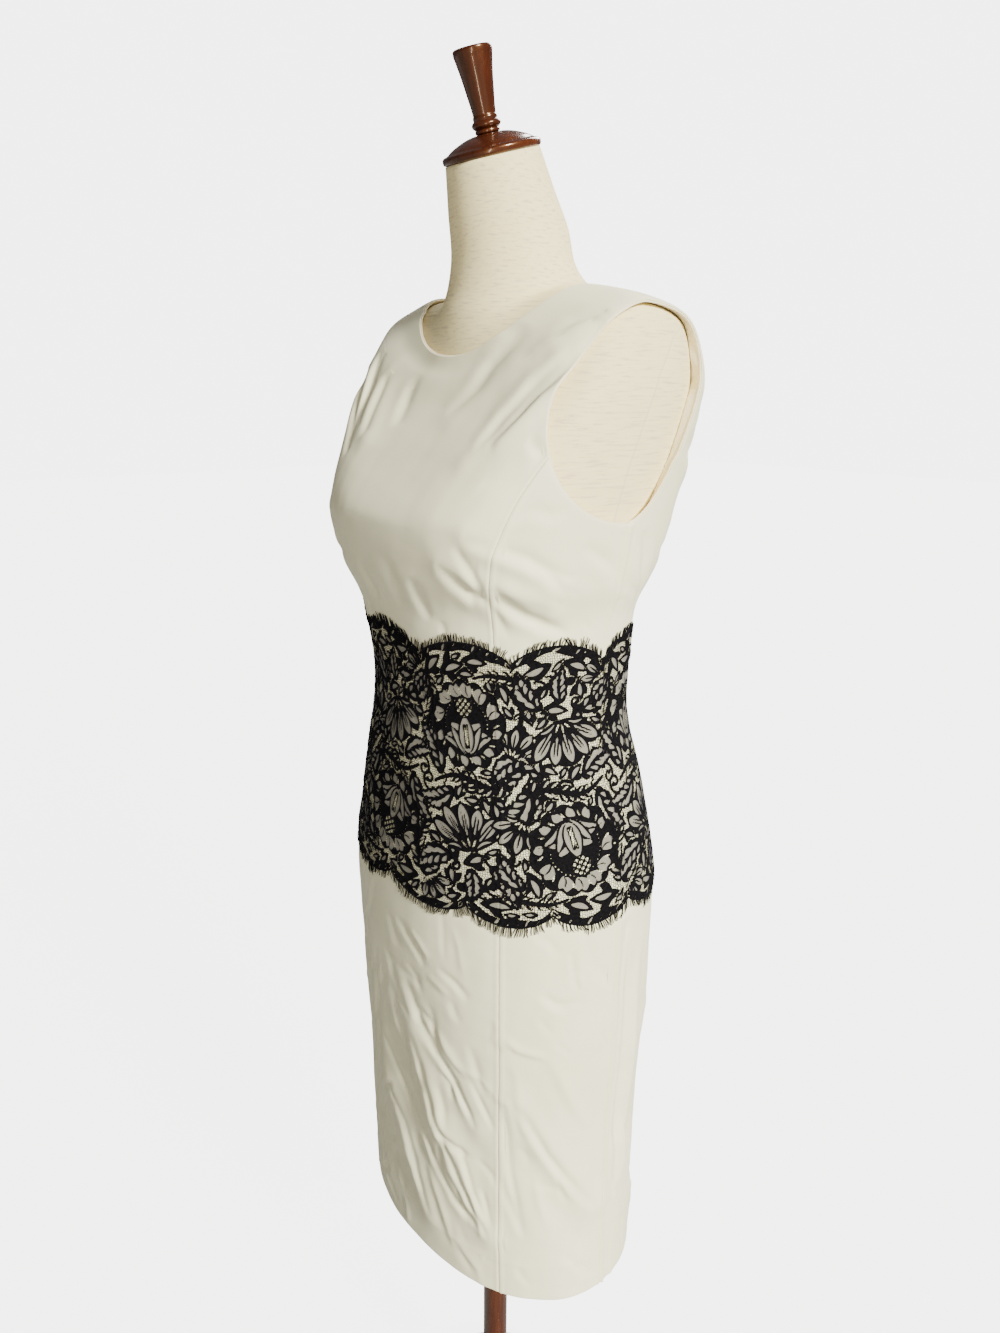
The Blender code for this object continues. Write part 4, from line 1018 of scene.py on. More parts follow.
class Patch:
    # the places of a field between two corners, where one motif is drawn
    def __init__(self, field, low, high):
        self.field = field
        self.where = np.flatnonzero(
            (field.across > low[0]) & (field.across < high[0]) & (field.up > low[1]) & (field.up < high[1])
        )
        self.x, self.y = field.across[self.where], field.up[self.where]

    def change(self, layer, choose, values):
        layer[self.where] = choose(layer[self.where], values)

    def fill(self, shape):
        self.change(self.field.body, np.minimum, shape)

    def cut(self, shape, through=False):
        # a half-stitch window, or an opening right through
        self.change(self.field.opening if through else self.field.window, np.minimum, shape)

    def mend(self, shape, margin=0.0, openings=False):
        # closes the windows, or the openings too, within a margin of a shape
        self.change(self.field.window, np.maximum, margin - shape)
        if openings:
            self.change(self.field.opening, np.maximum, margin - shape)

    def lay(self, shape):
        # the clear ring round a motif comes and goes, and in places two motifs grow together
        uneven = np.sin(self.x * 0.11 + 1.0) * np.sin(self.y * 0.13 - 0.6)
        ring = lacePattern["halo"] * (0.1 + 1.3 * uneven)
        self.change(self.field.body, np.maximum, ring - shape)
        self.mend(shape, 1.2, openings=True)
        self.fill(shape)

    def disc(self, middle, radius):
        return np.hypot(self.x - middle[0], self.y - middle[1]) - radius

    def lens(self, start, end, width, bend=0.0, fullness=0.8, blunt=0.0, teeth=0, bite=0.0):
        # a petal's outline, from start to end, whose middle line bows by bend
        start, end = np.array(start, float), np.array(end, float)
        run = end - start
        length = math.hypot(*run)
        x, y = self.x - start[0], self.y - start[1]
        along = (x * run[0] + y * run[1]) / length
        part = np.clip(along / length, 0, 1)
        off = (x * -run[1] + y * run[0]) / length - bend * np.sin(math.pi * part)
        half = width / 2 * np.sin(math.pi * part**fullness) ** (1 - blunt)
        if teeth:
            half = half * (1 - bite * ((part * teeth + 0.15 * np.sign(off)) % 1))
        over = abs(off) - half
        beyond = np.maximum(np.maximum(-along, along - length), 0)
        slope = 1.0 / math.sqrt(1 + (1.3 * width / length) ** 2)
        return np.hypot(np.maximum(over, 0), beyond) + np.minimum(over, 0) * slope

    def stroke(self, points, width, taper):
        # a cord along points that grows thinner towards its end
        points = np.array(points, float)
        runs = np.diff(points, axis=0)
        lengths = np.maximum(np.hypot(*runs.T), 1e-6)
        best = np.full(self.x.shape, 1e3)
        done = 0.0
        for start, run, length in zip(points, runs, lengths):
            x, y = self.x - start[0], self.y - start[1]
            part = np.clip((x * run[0] + y * run[1]) / length**2, 0, 1)
            half = width / 2 * (1 - taper * (done + part * length) / lengths.sum())
            best = np.minimum(best, np.hypot(x - part * run[0], y - part * run[1]) - half)
            done += length
        return best


def pointing(angle):
    # one millimetre at an angle in radians, and one to the left of it
    way = np.array([math.cos(angle), math.sin(angle)])
    return way, np.array([-way[1], way[0]])


def fanned(way, side, swing):
    return way * math.cos(swing) + side * math.sin(swing)


def smoothLine(points, count):
    places = np.concatenate([[0], np.cumsum(np.hypot(*np.diff(np.array(points, float), axis=0).T))])
    return smoothCurve(places, points)(np.linspace(0, places[-1], count))


def spiral(start, direction, length, curl):
    count = lacePattern["tendrilSteps"]
    point = np.array(start, float)
    heading = math.radians(direction)
    points = [point]
    for i in range(count):
        part = (i + 0.5) / count
        heading += math.radians(curl) / count * (0.35 + 1.3 * part)
        point = point + length / count * (1.25 - 0.5 * part) * pointing(heading)[0]
        points.append(point)
    return points


def leafMotif(field, root, tip, width, bend, teeth):
    root, tip = np.array(root, float), np.array(tip, float)
    run = tip - root
    length = math.hypot(*run)
    way, side = run / length, np.array([-run[1], run[0]]) / length
    patch = Patch(field, np.minimum(root, tip) - width, np.maximum(root, tip) + width)
    shape = patch.lens(root, tip, width, bend, fullness=0.74, blunt=0.25, teeth=teeth, bite=0.22)
    patch.lay(shape)
    for i in range(teeth):
        part = 0.10 + 0.70 * i / (teeth - 1)
        rib = root + run * part + side * bend * math.sin(math.pi * part)
        reach = width / 2 * math.sin(math.pi * (part + 0.11) ** 0.74) ** 0.75
        if reach <= 3.6:
            continue
        for hand in (1, -1):
            start = rib + side * hand * 1.3 + way * 0.6
            stop = rib + way * reach * 1.0 + side * hand * reach * 0.80
            wide = max(length * 0.52 / teeth, 2.6)
            window = patch.lens(start, stop, wide, bend=hand * -0.6, fullness=1.2, blunt=0.35)
            patch.cut(np.maximum(window, shape + 1.9))
    tipWindow = patch.lens(root + run * 0.82, root + run * 0.97, 3.6, fullness=0.9, blunt=0.2)
    patch.cut(np.maximum(tipWindow, shape + 1.6))


def frondMotif(field, points, slit, count):
    line = smoothLine(points, 26)
    patch = Patch(field, line.min(0) - slit - 6, line.max(0) + slit + 6)
    shape = patch.stroke(line, slit * 0.62, taper=0.7)
    blades = []
    for i in range(count):
        k = 1 + int(23 * i / count)
        way = line[k + 1] - line[k]
        way = way / math.hypot(*way)
        side = np.array([-way[1], way[0]])
        size = slit * (1 - 0.55 * i / count)
        for hand in (1, -1):
            end = line[k] + way * size * 0.85 + side * hand * size * 0.78
            blade = patch.lens(line[k] - way, end, size * 0.50, bend=hand * 0.8, fullness=0.95, blunt=0.15)
            shape = np.minimum(shape, blade)
            blades.append((line[k] + side * hand * 0.8, end, size))
    patch.lay(shape)
    for i, (start, end, size) in enumerate(blades):
        run = end - start
        wide = max(size * 0.21, 1.9)
        slot = patch.lens(start + run * 0.12, start + run * 0.86, wide, fullness=1.1, blunt=0.4)
        patch.cut(slot, through=i % 4 == 1)


def budMotif(field, middle, radius, turn, petals):
    middle = np.array(middle, float)
    patch = Patch(field, middle - radius * 1.6, middle + radius * 1.6)
    way, side = pointing(math.radians(turn))
    root = middle - way * radius * 0.85
    forward = (patch.x - middle[0]) * way[0] + (patch.y - middle[1]) * way[1]
    shape = np.maximum(patch.disc(middle, radius * 0.86), -forward - radius * 0.75)
    tips = []
    for i in range(petals):
        swing = math.radians(-62 + 124 * (i + 0.5) / petals)
        reach = 1.80 + 0.12 * math.cos(3 * swing + middle[0])
        tips.append(root + fanned(way, side, swing) * radius * reach)
        petal = patch.lens(root, tips[-1], radius * 0.70, fullness=1.4, blunt=0.2)
        shape = np.minimum(shape, petal)
    for hand in (1, -1):
        end = root + side * hand * radius * 1.15 + way * radius * 0.35
        sepal = patch.lens(root, end, radius * 0.46, bend=hand * -4, fullness=0.9, blunt=0.1)
        shape = np.minimum(shape, sepal)
    patch.lay(shape)
    for i, tip in enumerate(tips):
        run = tip - root
        start = root + run * (0.30 + 0.07 * (i % 2))
        patch.cut(patch.lens(start, root + run * 0.94, radius * 0.42, fullness=1.3, blunt=0.35))
        for aside in ((-1.5, 1.5) if radius > 20 else (0,)):
            shift = np.array([-run[1], run[0]]) / math.hypot(*run) * aside
            end = root + run * 0.80 + shift
            patch.mend(patch.lens(start + shift, end, 1.3, fullness=1.0, blunt=0.6))
    for degrees in (-36, 0, 36):
        out = fanned(way, side, math.radians(degrees)) * radius
        slit = patch.lens(root + out * 0.14, root + out * 0.52, 2.0, fullness=1, blunt=0.5)
        patch.cut(slit, through=True)
    for hand in (1, -1):
        out = (side * hand * 0.95 + way * 0.30) * radius
        start, end = root + out * 0.25, root + out * 0.95
        patch.cut(patch.lens(start, end, 2.4, bend=hand * -2, fullness=1, blunt=0.4))


headShares = {
    "petals": 12,
    "uneven": 0.12,
    "beads": 22,
    "beadRing": 0.56,
    "trellisRadius": 0.21,
    "trellisStep": 0.105,
    # petals of the far side and of the near side: start, end and width as shares of the radius
    "far": (0.60, 0.95, 0.33),
    "near": (0.70, 0.92, 0.20),
}


def headPetals(patch, middle, radius, facing, shape):
    petals = headShares["petals"]
    for i in range(petals):
        bearing = 2 * math.pi * (i + 0.5) / petals
        angle = facing + bearing - headShares["uneven"] * math.sin(2 * bearing)
        out, along = pointing(angle)
        far = math.cos(bearing) < 0.2
        inner, outer, width = headShares["far" if far else "near"]
        start = middle + out * radius * inner - along * radius * 0.08
        end = middle + out * radius * outer + along * radius * 0.07
        window = patch.lens(start, end, radius * width, bend=1.8, fullness=1.2, blunt=0.4)
        patch.cut(np.maximum(window, shape + 2.1))
        if far:
            end = start + (end - start) * 0.74
            patch.mend(patch.lens(start, end, 1.2, bend=1.8, fullness=1.0, blunt=0.6))
        out, along = pointing(angle + math.pi / petals)
        start = middle + out * radius * 0.70 - along * radius * 0.05
        end = middle + out * radius * 0.86 + along * 1.0
        patch.cut(patch.lens(start, end, 1.7, bend=0.8, fullness=1, blunt=0.5), through=True)


def headCup(patch, root, radius, way, side):
    # the cup opens away from its root, its petals parted by cords
    for i in (-2, 2, -1, 1, 0):
        out = fanned(-way, side, math.radians(29 * i))
        mouth = root + out * radius * (0.84 - 0.06 * abs(i))
        width = radius * (0.42 if i else 0.36)
        start = root + out * radius * 0.05
        petal = patch.lens(start, mouth, width, bend=i * 3.6, fullness=0.85, blunt=0.35)
        patch.mend(petal, 1.5, openings=True)
        patch.cut(petal)
        begin = root + out * radius * 0.16
        if i:
            for far, lift in ((0.66, 0.0), (0.74, 0.075)):
                aside = side * i * radius * lift
                end = root + out * radius * far + aside
                patch.mend(patch.lens(begin + aside * 0.5, end, 1.4, bend=i * 2.9, fullness=1, blunt=0.6))
        else:
            for hand in (-1, 1):
                end = root + out * radius * 0.64 + side * hand * 1.7
                slit = patch.lens(begin + side * hand * 1.4, end, 1.7, bend=hand, fullness=1, blunt=0.5)
                patch.mend(slit, 1.2)
                patch.cut(slit, through=True)


def headMotif(field, middle, radius, turn):
    # a full round flower: outer petals, a dark crescent, a striped cup and a trellis of net
    middle = np.array(middle, float)
    patch = Patch(field, middle - radius * 1.2, middle + radius * 1.2)
    facing = math.radians(turn)
    way, side = pointing(facing)
    dx, dy = patch.x - middle[0], patch.y - middle[1]
    forward, leftward = dx * way[0] + dy * way[1], dx * side[0] + dy * side[1]
    bearing = np.arctan2(leftward, forward)
    petals, uneven = headShares["petals"], headShares["uneven"]
    ripple = abs(np.cos(petals / 2 * (bearing + uneven * np.sin(2 * bearing))))
    shape = np.hypot(dx, dy) - radius * (0.91 + 0.09 * ripple)
    patch.lay(shape)
    headPetals(patch, middle, radius, facing, shape)
    for i in range(headShares["beads"]):
        out, _ = pointing(facing + math.pi * (0.45 + 1.10 * i / (headShares["beads"] - 1)))
        bead = out * radius * headShares["beadRing"]
        patch.cut(np.hypot(dx - bead[0], dy - bead[1]) - 0.8, through=True)
    headCup(patch, middle + way * radius * 0.66, radius, way, side)
    trellis = patch.disc(middle - way * radius * 0.38, radius * headShares["trellisRadius"])
    step = radius * headShares["trellisStep"]
    slants = ((leftward + forward) / math.sqrt(2), (leftward - forward) / math.sqrt(2))
    bar = np.minimum(*(abs((slant / step) % 1 - 0.5) for slant in slants)) * step
    patch.mend(trellis, 1.3, openings=True)
    patch.cut(np.maximum(trellis, 0.75 - bar), through=True)


def tendrilMotif(field, start, direction, length, curl, width):
    points = spiral(start, direction, length, curl)
    patch = Patch(field, np.min(points, 0) - 6, np.max(points, 0) + 6)
    patch.fill(np.minimum(patch.stroke(points, width, taper=0.15), patch.disc(points[-1], width * 0.85)))


gapSprig = {
    "from": 10.0,
    "to": 4.4,
    "most": 1600,
    "directions": 8,
    "reach": 1.55,
    "width": 1.25,
    "threeFrom": 5.5,
}


def gapSprigs(field, edges):
    # a small leaf, or a sprig of three, wherever the net is still bare, from the widest gap down
    lower, upper = edges
    rim = lacePattern["border"]["width"]
    room = np.minimum(field.body, np.minimum(field.up - lower, upper - field.up) - rim)
    spread = np.linspace(0, math.pi, gapSprig["directions"], endpoint=False)
    for count in range(gapSprig["most"]):
        i = int(np.argmax(room))
        gap = float(room[i])
        if gap < gapSprig["to"]:
            break
        place = np.array([field.across[i], field.up[i]])
        reach = min(gap, gapSprig["from"]) * gapSprig["reach"]
        width = min(gap, gapSprig["from"]) * gapSprig["width"]
        patch = Patch(field, place - reach * 1.6, place + reach * 1.6)

        def clearance(angle):
            out, _ = pointing(angle)
            clear = 0.0
            for end in (place + out * reach, place - out * reach):
                nearest = int(np.argmin((patch.x - end[0]) ** 2 + (patch.y - end[1]) ** 2))
                clear += min(float(room[patch.where[nearest]]), gap)
            return clear

        best, turn = -1.0, 0.0
        for angle in spread:
            clear = clearance(angle)
            if clear > best:
                best, turn = clear, angle
        out, aside = pointing(turn)
        if count % 2 == 0:
            out, aside = -out, -aside
        root, tip = place - out * reach, place + out * reach
        shape = patch.lens(root, tip, width, bend=width * 0.14, fullness=0.85, blunt=0.1)
        if gap > gapSprig["threeFrom"]:
            for hand in (1, -1):
                end = place + out * reach * 0.35 + aside * hand * gap * 1.05
                start = place - out * reach * 0.55
                twig = patch.lens(start, end, width * 0.62, fullness=1.0, blunt=0.1)
                shape = np.minimum(shape, twig)
        shape = np.maximum(shape, 1.3 - field.body[patch.where])
        patch.fill(shape)
        start, end = root + out * reach * 0.5, tip - out * reach * 0.30
        inner = patch.lens(start, end, width * 0.44, bend=width * 0.1, fullness=0.95, blunt=0.2)
        patch.cut(np.maximum(inner, shape + 1.1))
        room[patch.where] = np.minimum(room[patch.where], shape)
        room[i] = min(room[i], 0.0)


def edgeBorder(field, edges):
    # a dense band along both scalloped edges: slanting windows in it, and open rings at the notches
    lower, upper = edges
    look = lacePattern["border"]
    pitch = look["pitch"]
    for inside, scallop, hand in (
        (field.up - lower, -lower, 1), (upper - field.up, upper - lacePattern["height"], -1),
    ):
        across = field.across * hand
        drift = 3.4 * np.sin(across / 17.0) + 1.7 * np.sin(across / 7.3 + 1.0)
        wave = (across + drift) / pitch
        width = look["width"] + 1.6 * np.sin(across / 6.1) + 1.2 * np.sin(across / 15.7 + 2.0)
        field.window = np.maximum(field.window, width + look["margin"] - inside)
        field.opening = np.maximum(field.opening, width + look["margin"] - inside)
        field.body = np.minimum(field.body, inside - width)
        place = (wave % 1 - 0.5) * pitch
        atNotch = scallop < look["notch"]
        ring = np.hypot(place, inside - look["ringAt"]) - look["ringRadius"]
        ring = abs(ring) - look["ringHalfWidth"]
        field.opening = np.minimum(field.opening, np.where(atNotch, ring, 9.0))
        size = 0.55 + 0.75 * np.sin(np.floor(wave) * 2.4)
        beyond = inside - look["windowAt"]
        slant = place - beyond * (0.8 + 0.4 * np.sin(across / 31.0))
        window = np.hypot(slant, beyond * 0.34) - size
        field.window = np.minimum(field.window, np.where(atNotch, 9.0, window))
        between = (place + pitch / 2) % pitch - pitch / 2
        beyond = inside - look["dashAt"]
        dash = np.hypot(between - beyond * 0.9, beyond * 0.3) - look["dashHalfWidth"]
        field.opening = np.minimum(field.opening, np.where(atNotch, 9.0, dash))


def laceField(across, up, edges, end):
    # across is measured from the centre front; edges gives up for the lower and upper edge there
    field = Field(across, up)
    repeat = lacePattern["repeat"]
    offsets = [(lacePattern["firstMiddle"] + i * repeat, i % 2 == 1) for i in range(-6, 7)]
    placings = [(offset, turned) for offset, turned in offsets if abs(offset) < end + repeat]

    def laid(point, offset, turned):
        # every second scallop has the pattern upside down
        if turned:
            return offset - point[0], lacePattern["height"] - point[1]
        return offset + point[0], point[1]

    for offset, turned in placings:
        for start, direction, length, curl, width in lacePattern["tendrils"]:
            begin = laid(start, offset, turned)
            tendrilMotif(field, begin, direction + 180 * turned, length, curl, width)
    for offset, turned in placings:
        for points, slit, count in lacePattern["fronds"]:
            frondMotif(field, [laid(point, offset, turned) for point in points], slit, count)
    for offset, turned in placings:
        for root, tip, *shape in lacePattern["leaves"]:
            leafMotif(field, laid(root, offset, turned), laid(tip, offset, turned), *shape)
    for offset, turned in placings:
        for middle, radius, turn, petals in lacePattern["buds"]:
            budMotif(field, laid(middle, offset, turned), radius, turn + 180 * turned, petals)
    for offset, turned in placings:
        for middle, radius, turn in lacePattern["heads"]:
            facing = turn + 180 * turned + 20 * math.sin(offset)
            headMotif(field, laid(middle, offset, turned), radius, facing)
    gapSprigs(field, edges)
    edgeBorder(field, edges)
    return field


laceBand = {
    "edges": {
        "top": {"notchZ": 1.073, "scallops": 9, "firstNotch": 10.0, "depth": 0.018, "up": 1},
        "bottom": {"notchZ": 0.8485, "scallops": 11, "firstNotch": -3.0, "depth": 0.014, "up": -1},
    },
    "fullness": 0.65,
    "zipGapAngle": 0.25,
    "measureZ": 0.95,  # the pattern is to scale at this height
    "measureSteps": 1441,
    "firstMiddleAngle": 30.0,
    "halfColumns": 352,
    "rows": 190,
    "offCloth": 0.00042,
    # a cord runs round the clothwork: millimetres inside its edge, spread in millimetres, rise in metres
    "cord": (0.7, 0.9, 0.00030),
    "clothRise": 0.0001,
    "outline": 1.6,  # millimetres of clothwork round each window
    "grown": 0.28,  # millimetres by which all clothwork is spread, and windows closed up
    "closed": 0.18,
    "thread": (0.0024, 0.0022, 0.0026),
    "threadWorn": (0.0070, 0.0064, 0.0074),
    "strandsPerMetre": 1400,
    "meshOfNet": 0.0021,
    "threadOfNet": 0.105,  # share of a mesh
    "meshOfFill": 0.00110,
    "fillMost": 0.66,
    "fillLeast": 0.36,
    # the half-stitch threads are coloured lighter and bluish: a painted sheen on black thread
    "fillThreadSheen": (0.045, 0.040, 0.072),
}


def laceEdgeZ(angle, name):
    edge = laceBand["edges"][name]
    halfTurns = np.radians(angle - edge["firstNotch"]) * edge["scallops"] / 2
    return edge["notchZ"] + edge["up"] * edge["depth"] * abs(np.sin(halfTurns)) ** laceBand["fullness"]


def roundTheBody():
    # angles, and how far round the body each lies from the centre front, in millimetres
    angles = np.linspace(-180, 180, laceBand["measureSteps"])
    ring = faceAt(angles, stationAt(angles, laceBand["measureZ"]))
    lengths = np.linalg.norm(np.diff(ring, axis=0), axis=1) * 1000
    arc = np.concatenate([[0], np.cumsum(lengths)])
    return angles, arc - np.interp(0, angles, arc)


roundAngles, roundArc = roundTheBody()
lacePattern["firstMiddle"] = float(np.interp(laceBand["firstMiddleAngle"], roundAngles, roundArc))
lacePattern["repeat"] = float(roundArc[-1] - roundArc[0]) / laceBand["edges"]["top"]["scallops"]


def laceMaterial():
    look = laceBand
    material, graph, shader = newMaterial("blackLace", {"Roughness": 0.90, "Specular IOR Level": 0.05})
    place = graph.place()

    def meshCells(cell, uneven):
        inputs = {"Vector": place, "Scale": 1.0 / cell, "Randomness": uneven}
        settings = {"voronoi_dimensions": "2D", "feature": "DISTANCE_TO_EDGE"}
        return graph.add("TexVoronoi", "Distance", inputs, **settings)

    dense = graph.ranged(graph.attribute("clothwork"), 0.10, -0.10)
    halfStitch = graph.ranged(graph.attribute("halfStitch"), 0.10, -0.10)
    net = graph.maths("LESS_THAN", meshCells(look["meshOfNet"], 0.62), look["threadOfNet"])
    # the half stitch is too fine to see, so it only thins between threads
    stitches = meshCells(look["meshOfFill"], 0.75)
    thinned = graph.ranged(stitches, 0.06, 0.34, look["fillMost"], look["fillLeast"])
    fill = graph.maths("MULTIPLY", halfStitch, thinned)
    net = graph.maths("MULTIPLY", net, graph.maths("SUBTRACT", 1.0, halfStitch))
    alpha = graph.maths("MAXIMUM", dense, graph.maths("MAXIMUM", net, fill))
    graph.plug(shader.inputs["Alpha"], alpha)

    colour = graph.ramp(graph.noise(place, 420.0), [(0.35, look["thread"]), (0.70, look["threadWorn"])])
    # the half stitch takes the colour of the painted bluish sheen
    graph.plug(shader.inputs["Base Color"], graph.mixed(halfStitch, colour, look["fillThreadSheen"]))
    strands = graph.scaled(graph.threads(place, look["strandsPerMetre"], "DIAGONAL"), 0.4)
    rim = graph.ranged(graph.attribute("clothwork"), -1.6, -0.5)
    graph.bump(shader, graph.maths("ADD", strands, rim), strength=0.6, distance=0.0004)
    return material


blackLace = laceMaterial()


def laceHalf(side, sign):
    columns, rows = laceBand["halfColumns"], laceBand["rows"]
    cordAt, cordSpread, cordRise = laceBand["cord"]
    fields = {}

    def placeOf(column, row):
        end = 180.0 - laceBand["zipGapAngle"]
        farthest = np.interp(end * sign, roundAngles, roundArc)
        part = column / columns if sign > 0 else 1 - column / columns
        across = farthest * part
        angle = np.interp(across, roundArc, roundAngles)
        low, high = laceEdgeZ(angle, "bottom"), laceEdgeZ(angle, "top")
        height = low + (high - low) * row / rows
        notch = laceBand["edges"]["bottom"]["notchZ"]
        lowUp, highUp, up = ((z - notch) * 1000 for z in (low, high, height))
        field = laceField(across, up, (lowUp, highUp), abs(farthest))
        body, window = field.body - laceBand["grown"], field.window + laceBand["closed"]
        dense = np.maximum(np.maximum(body, -window), -field.opening)
        half = np.maximum(np.maximum(window, body + laceBand["outline"]), -field.opening)
        fields["clothwork"], fields["halfStitch"] = np.clip(dense, -6, 6), np.clip(half, -6, 6)
        cord = np.exp(-(((dense + cordAt) / cordSpread) ** 2)) * cordRise
        rise = cord + laceBand["clothRise"] * (dense < 0)
        point = clothAt(angle, stationAt(angle, height), laceBand["offCloth"] + rise)
        return point, np.stack([across / 1000, height], -1)

    piece = gridPiece("laceBand" + side.capitalize(), columns, rows, placeOf)
    for name, values in fields.items():
        attribute = piece.data.attributes.new(name, "FLOAT", "POINT")
        attribute.data.foreach_set("value", values.astype(np.float32))
    return finishPiece(piece, blackLace, nodes=["lace_band"])


eyelashes = {
    "perEdge": 600,
    "length": 0.0098,
    "radius": 0.00040,
    "lean": 0.0040,
    "cluster": (5, 12),  # threads that lean together
    "clusterLength": (0.70, 1.10),
    "ownLength": (0.78, 1.08),
    "crowd": (0.72, 0.95),
    "aside": 0.18,
    "fan": 0.9,
    "ownLean": 0.12,
    "bow": 0.0010,
    "lift": (0.0002, 0.0012),
    "endGapAngle": 0.2,
    "sunkIn": 0.0014,
    "parts": (0.0, 0.30, 0.65, 1.0),
    "taper": (1.1, 1.0, 0.9, 0.65),
    "thread": (0.003, 0.003, 0.0035),
    "threadWorn": (0.012, 0.011, 0.0125),
}


def lashMaterial():
    material, graph, shader = newMaterial("lashThread", {"Roughness": 0.85, "Specular IOR Level": 0.05})
    tone = graph.noise(graph.place(onMap=False), 900.0, detail=2.0)
    colour = graph.ramp(tone, [(0.3, eyelashes["thread"]), (0.7, eyelashes["threadWorn"])])
    graph.plug(shader.inputs["Base Color"], colour)
    return material


lashThread = lashMaterial()


def lashFringe(name):
    edge = laceBand["edges"][name]
    up = edge["up"]
    aside, ownLean = eyelashes["aside"], eyelashes["ownLean"]
    draw = random.Random(edge["scallops"])
    end = 180.0 - laceBand["zipGapAngle"] - eyelashes["endGapAngle"]
    first, last = np.interp([-end, end], roundAngles, roundArc)
    strands = []
    left = 0
    for i in range(eyelashes["perEdge"]):
        if left == 0:
            left = draw.randint(*eyelashes["cluster"])
            lean = draw.uniform(-1, 1) * eyelashes["lean"]
            long = draw.uniform(*eyelashes["clusterLength"])
            crowd = draw.uniform(*eyelashes["crowd"])
            start, count = i, left
        left -= 1
        inCluster = (i - start + 0.5) / count - 0.5
        place = start + count * (0.5 + crowd * inCluster) + draw.uniform(-aside, aside)
        across = first + (last - first) * place / eyelashes["perEdge"]
        length = eyelashes["length"] * long * draw.uniform(*eyelashes["ownLength"])
        own = lean + (eyelashes["fan"] * inCluster + draw.uniform(-ownLean, ownLean)) * eyelashes["lean"]
        bow = draw.uniform(-eyelashes["bow"], eyelashes["bow"])
        strands.append((across, length, own, bow, draw.uniform(*eyelashes["lift"])))
    root, length, lean, bow, lift = (values[:, None] for values in np.array(strands).T)
    parts = np.array(eyelashes["parts"])
    across = root + (lean * parts + bow * np.sin(math.pi * parts)) * 1000
    angle = np.interp(across, roundArc, roundAngles)
    edgeZ = laceEdgeZ(np.interp(root, roundArc, roundAngles), name)
    height = edgeZ + up * (length * parts - eyelashes["sunkIn"])
    off = laceBand["offCloth"] + laceBand["clothRise"] + lift * parts**2
    points = clothAt(angle, stationAt(angle, height), off)

    curve = bpy.data.curves.new("lashRuns", "CURVE")
    curve.dimensions = "3D"
    curve.bevel_depth = eyelashes["radius"]
    curve.bevel_resolution = 0
    curve.use_fill_caps = True
    for run in points:
        spline = curve.splines.new("POLY")
        spline.points.add(len(run) - 1)
        for spot, place, size in zip(spline.points, run, eyelashes["taper"]):
            spot.co = (*place, 1.0)
            spot.radius = size
    holder = addObject("lashRuns", curve)
    mesh = bpy.data.meshes.new_from_object(holder.evaluated_get(bpy.context.evaluated_depsgraph_get()))
    bpy.data.objects.remove(holder)
    mesh.name = "laceFringe" + name.capitalize()
    piece = addObject(mesh.name, mesh)
    return finishPiece(piece, lashThread, nodes=["lace_fringe_" + name])


lacePieces = [laceHalf("left", 1), laceHalf("right", -1)]
fringePieces = [lashFringe("top"), lashFringe("bottom")]
print("lace made")


def neckRing(angle, centreY, centreZ, radiusX, radiusY, tilt):
    along = radiusY * np.cos(np.radians(angle))
    lean = math.radians(tilt)
    x = radiusX * np.sin(np.radians(angle))
    return np.stack([x, centreY - along * math.cos(lean), centreZ - along * math.sin(lean)], -1)


def formTorso():
    columns = formShape["columns"]
    angles = np.arange(columns) * 360.0 / columns
    first = float(stationAt(90.0, formShape["bottomZ"]))
    bodyRings = []
    for station in np.linspace(first, dressCut["neckline"], formShape["bodyRows"] + 1):
        depth = formDepth(angles, station)
        bodyRings.append(faceAt(angles, station) - normalAt(angles, station) * depth[:, None])
    bodyRings[0][:, 2] = formShape["bottomZ"]
    knots = [bodyRings[-formShape["slopeRings"]], bodyRings[-1]]
    knots += [neckRing(angles, *row) for row in formShape["neckRings"]]
    lean = formShape["neckLean"]
    axis = np.array([0, -math.sin(math.radians(lean)), math.cos(math.radians(lean))])
    top = np.array(formShape["neckTop"]) - axis * dressCut["seamGap"]
    radius = formShape["neckTopRadius"]
    knots.append(neckRing(angles, top[1], top[2], radius, radius, lean))
    places = [0.0]
    for low, high in zip(knots, knots[1:]):
        places.append(places[-1] + float(np.linalg.norm(high - low, axis=1).mean()))
    curve = smoothCurve(places, [ring.ravel() for ring in knots])
    neckPlaces = np.linspace(places[1], places[-1], formShape["neckRows"])[1:]
    rings = np.array(bodyRings + [curve(place).reshape(-1, 3) for place in neckPlaces])

    def placeOf(column, row):
        points = rings[row, column % columns]
        return points, np.stack([column * formShape["mapStep"], points[:, 2]], -1)

    piece = gridPiece("formTorso", columns, len(rings) - 1, placeOf, closed=True)
    bm = bmesh.new()
    bm.from_mesh(piece.data)
    rims = [edge for edge in bm.edges if edge.is_boundary]
    bmesh.ops.holes_fill(bm, edges=rims, sides=0)
    bmesh.ops.recalc_face_normals(bm, faces=bm.faces)
    bm.to_mesh(piece.data)
    bm.free()
    seamHeights, seamDepths = zip(*formShape["coverSeam"])
    away = [(v.co.y - np.interp(v.co.z, seamHeights, seamDepths)) * 1000 for v in piece.data.vertices]
    piece.data.attributes.new("coverSeam", "FLOAT", "POINT").data.foreach_set("value", away)
    return finishPiece(piece, naturalLinen, nodes=["form_torso"])


torsoPiece = formTorso()
print("form made")


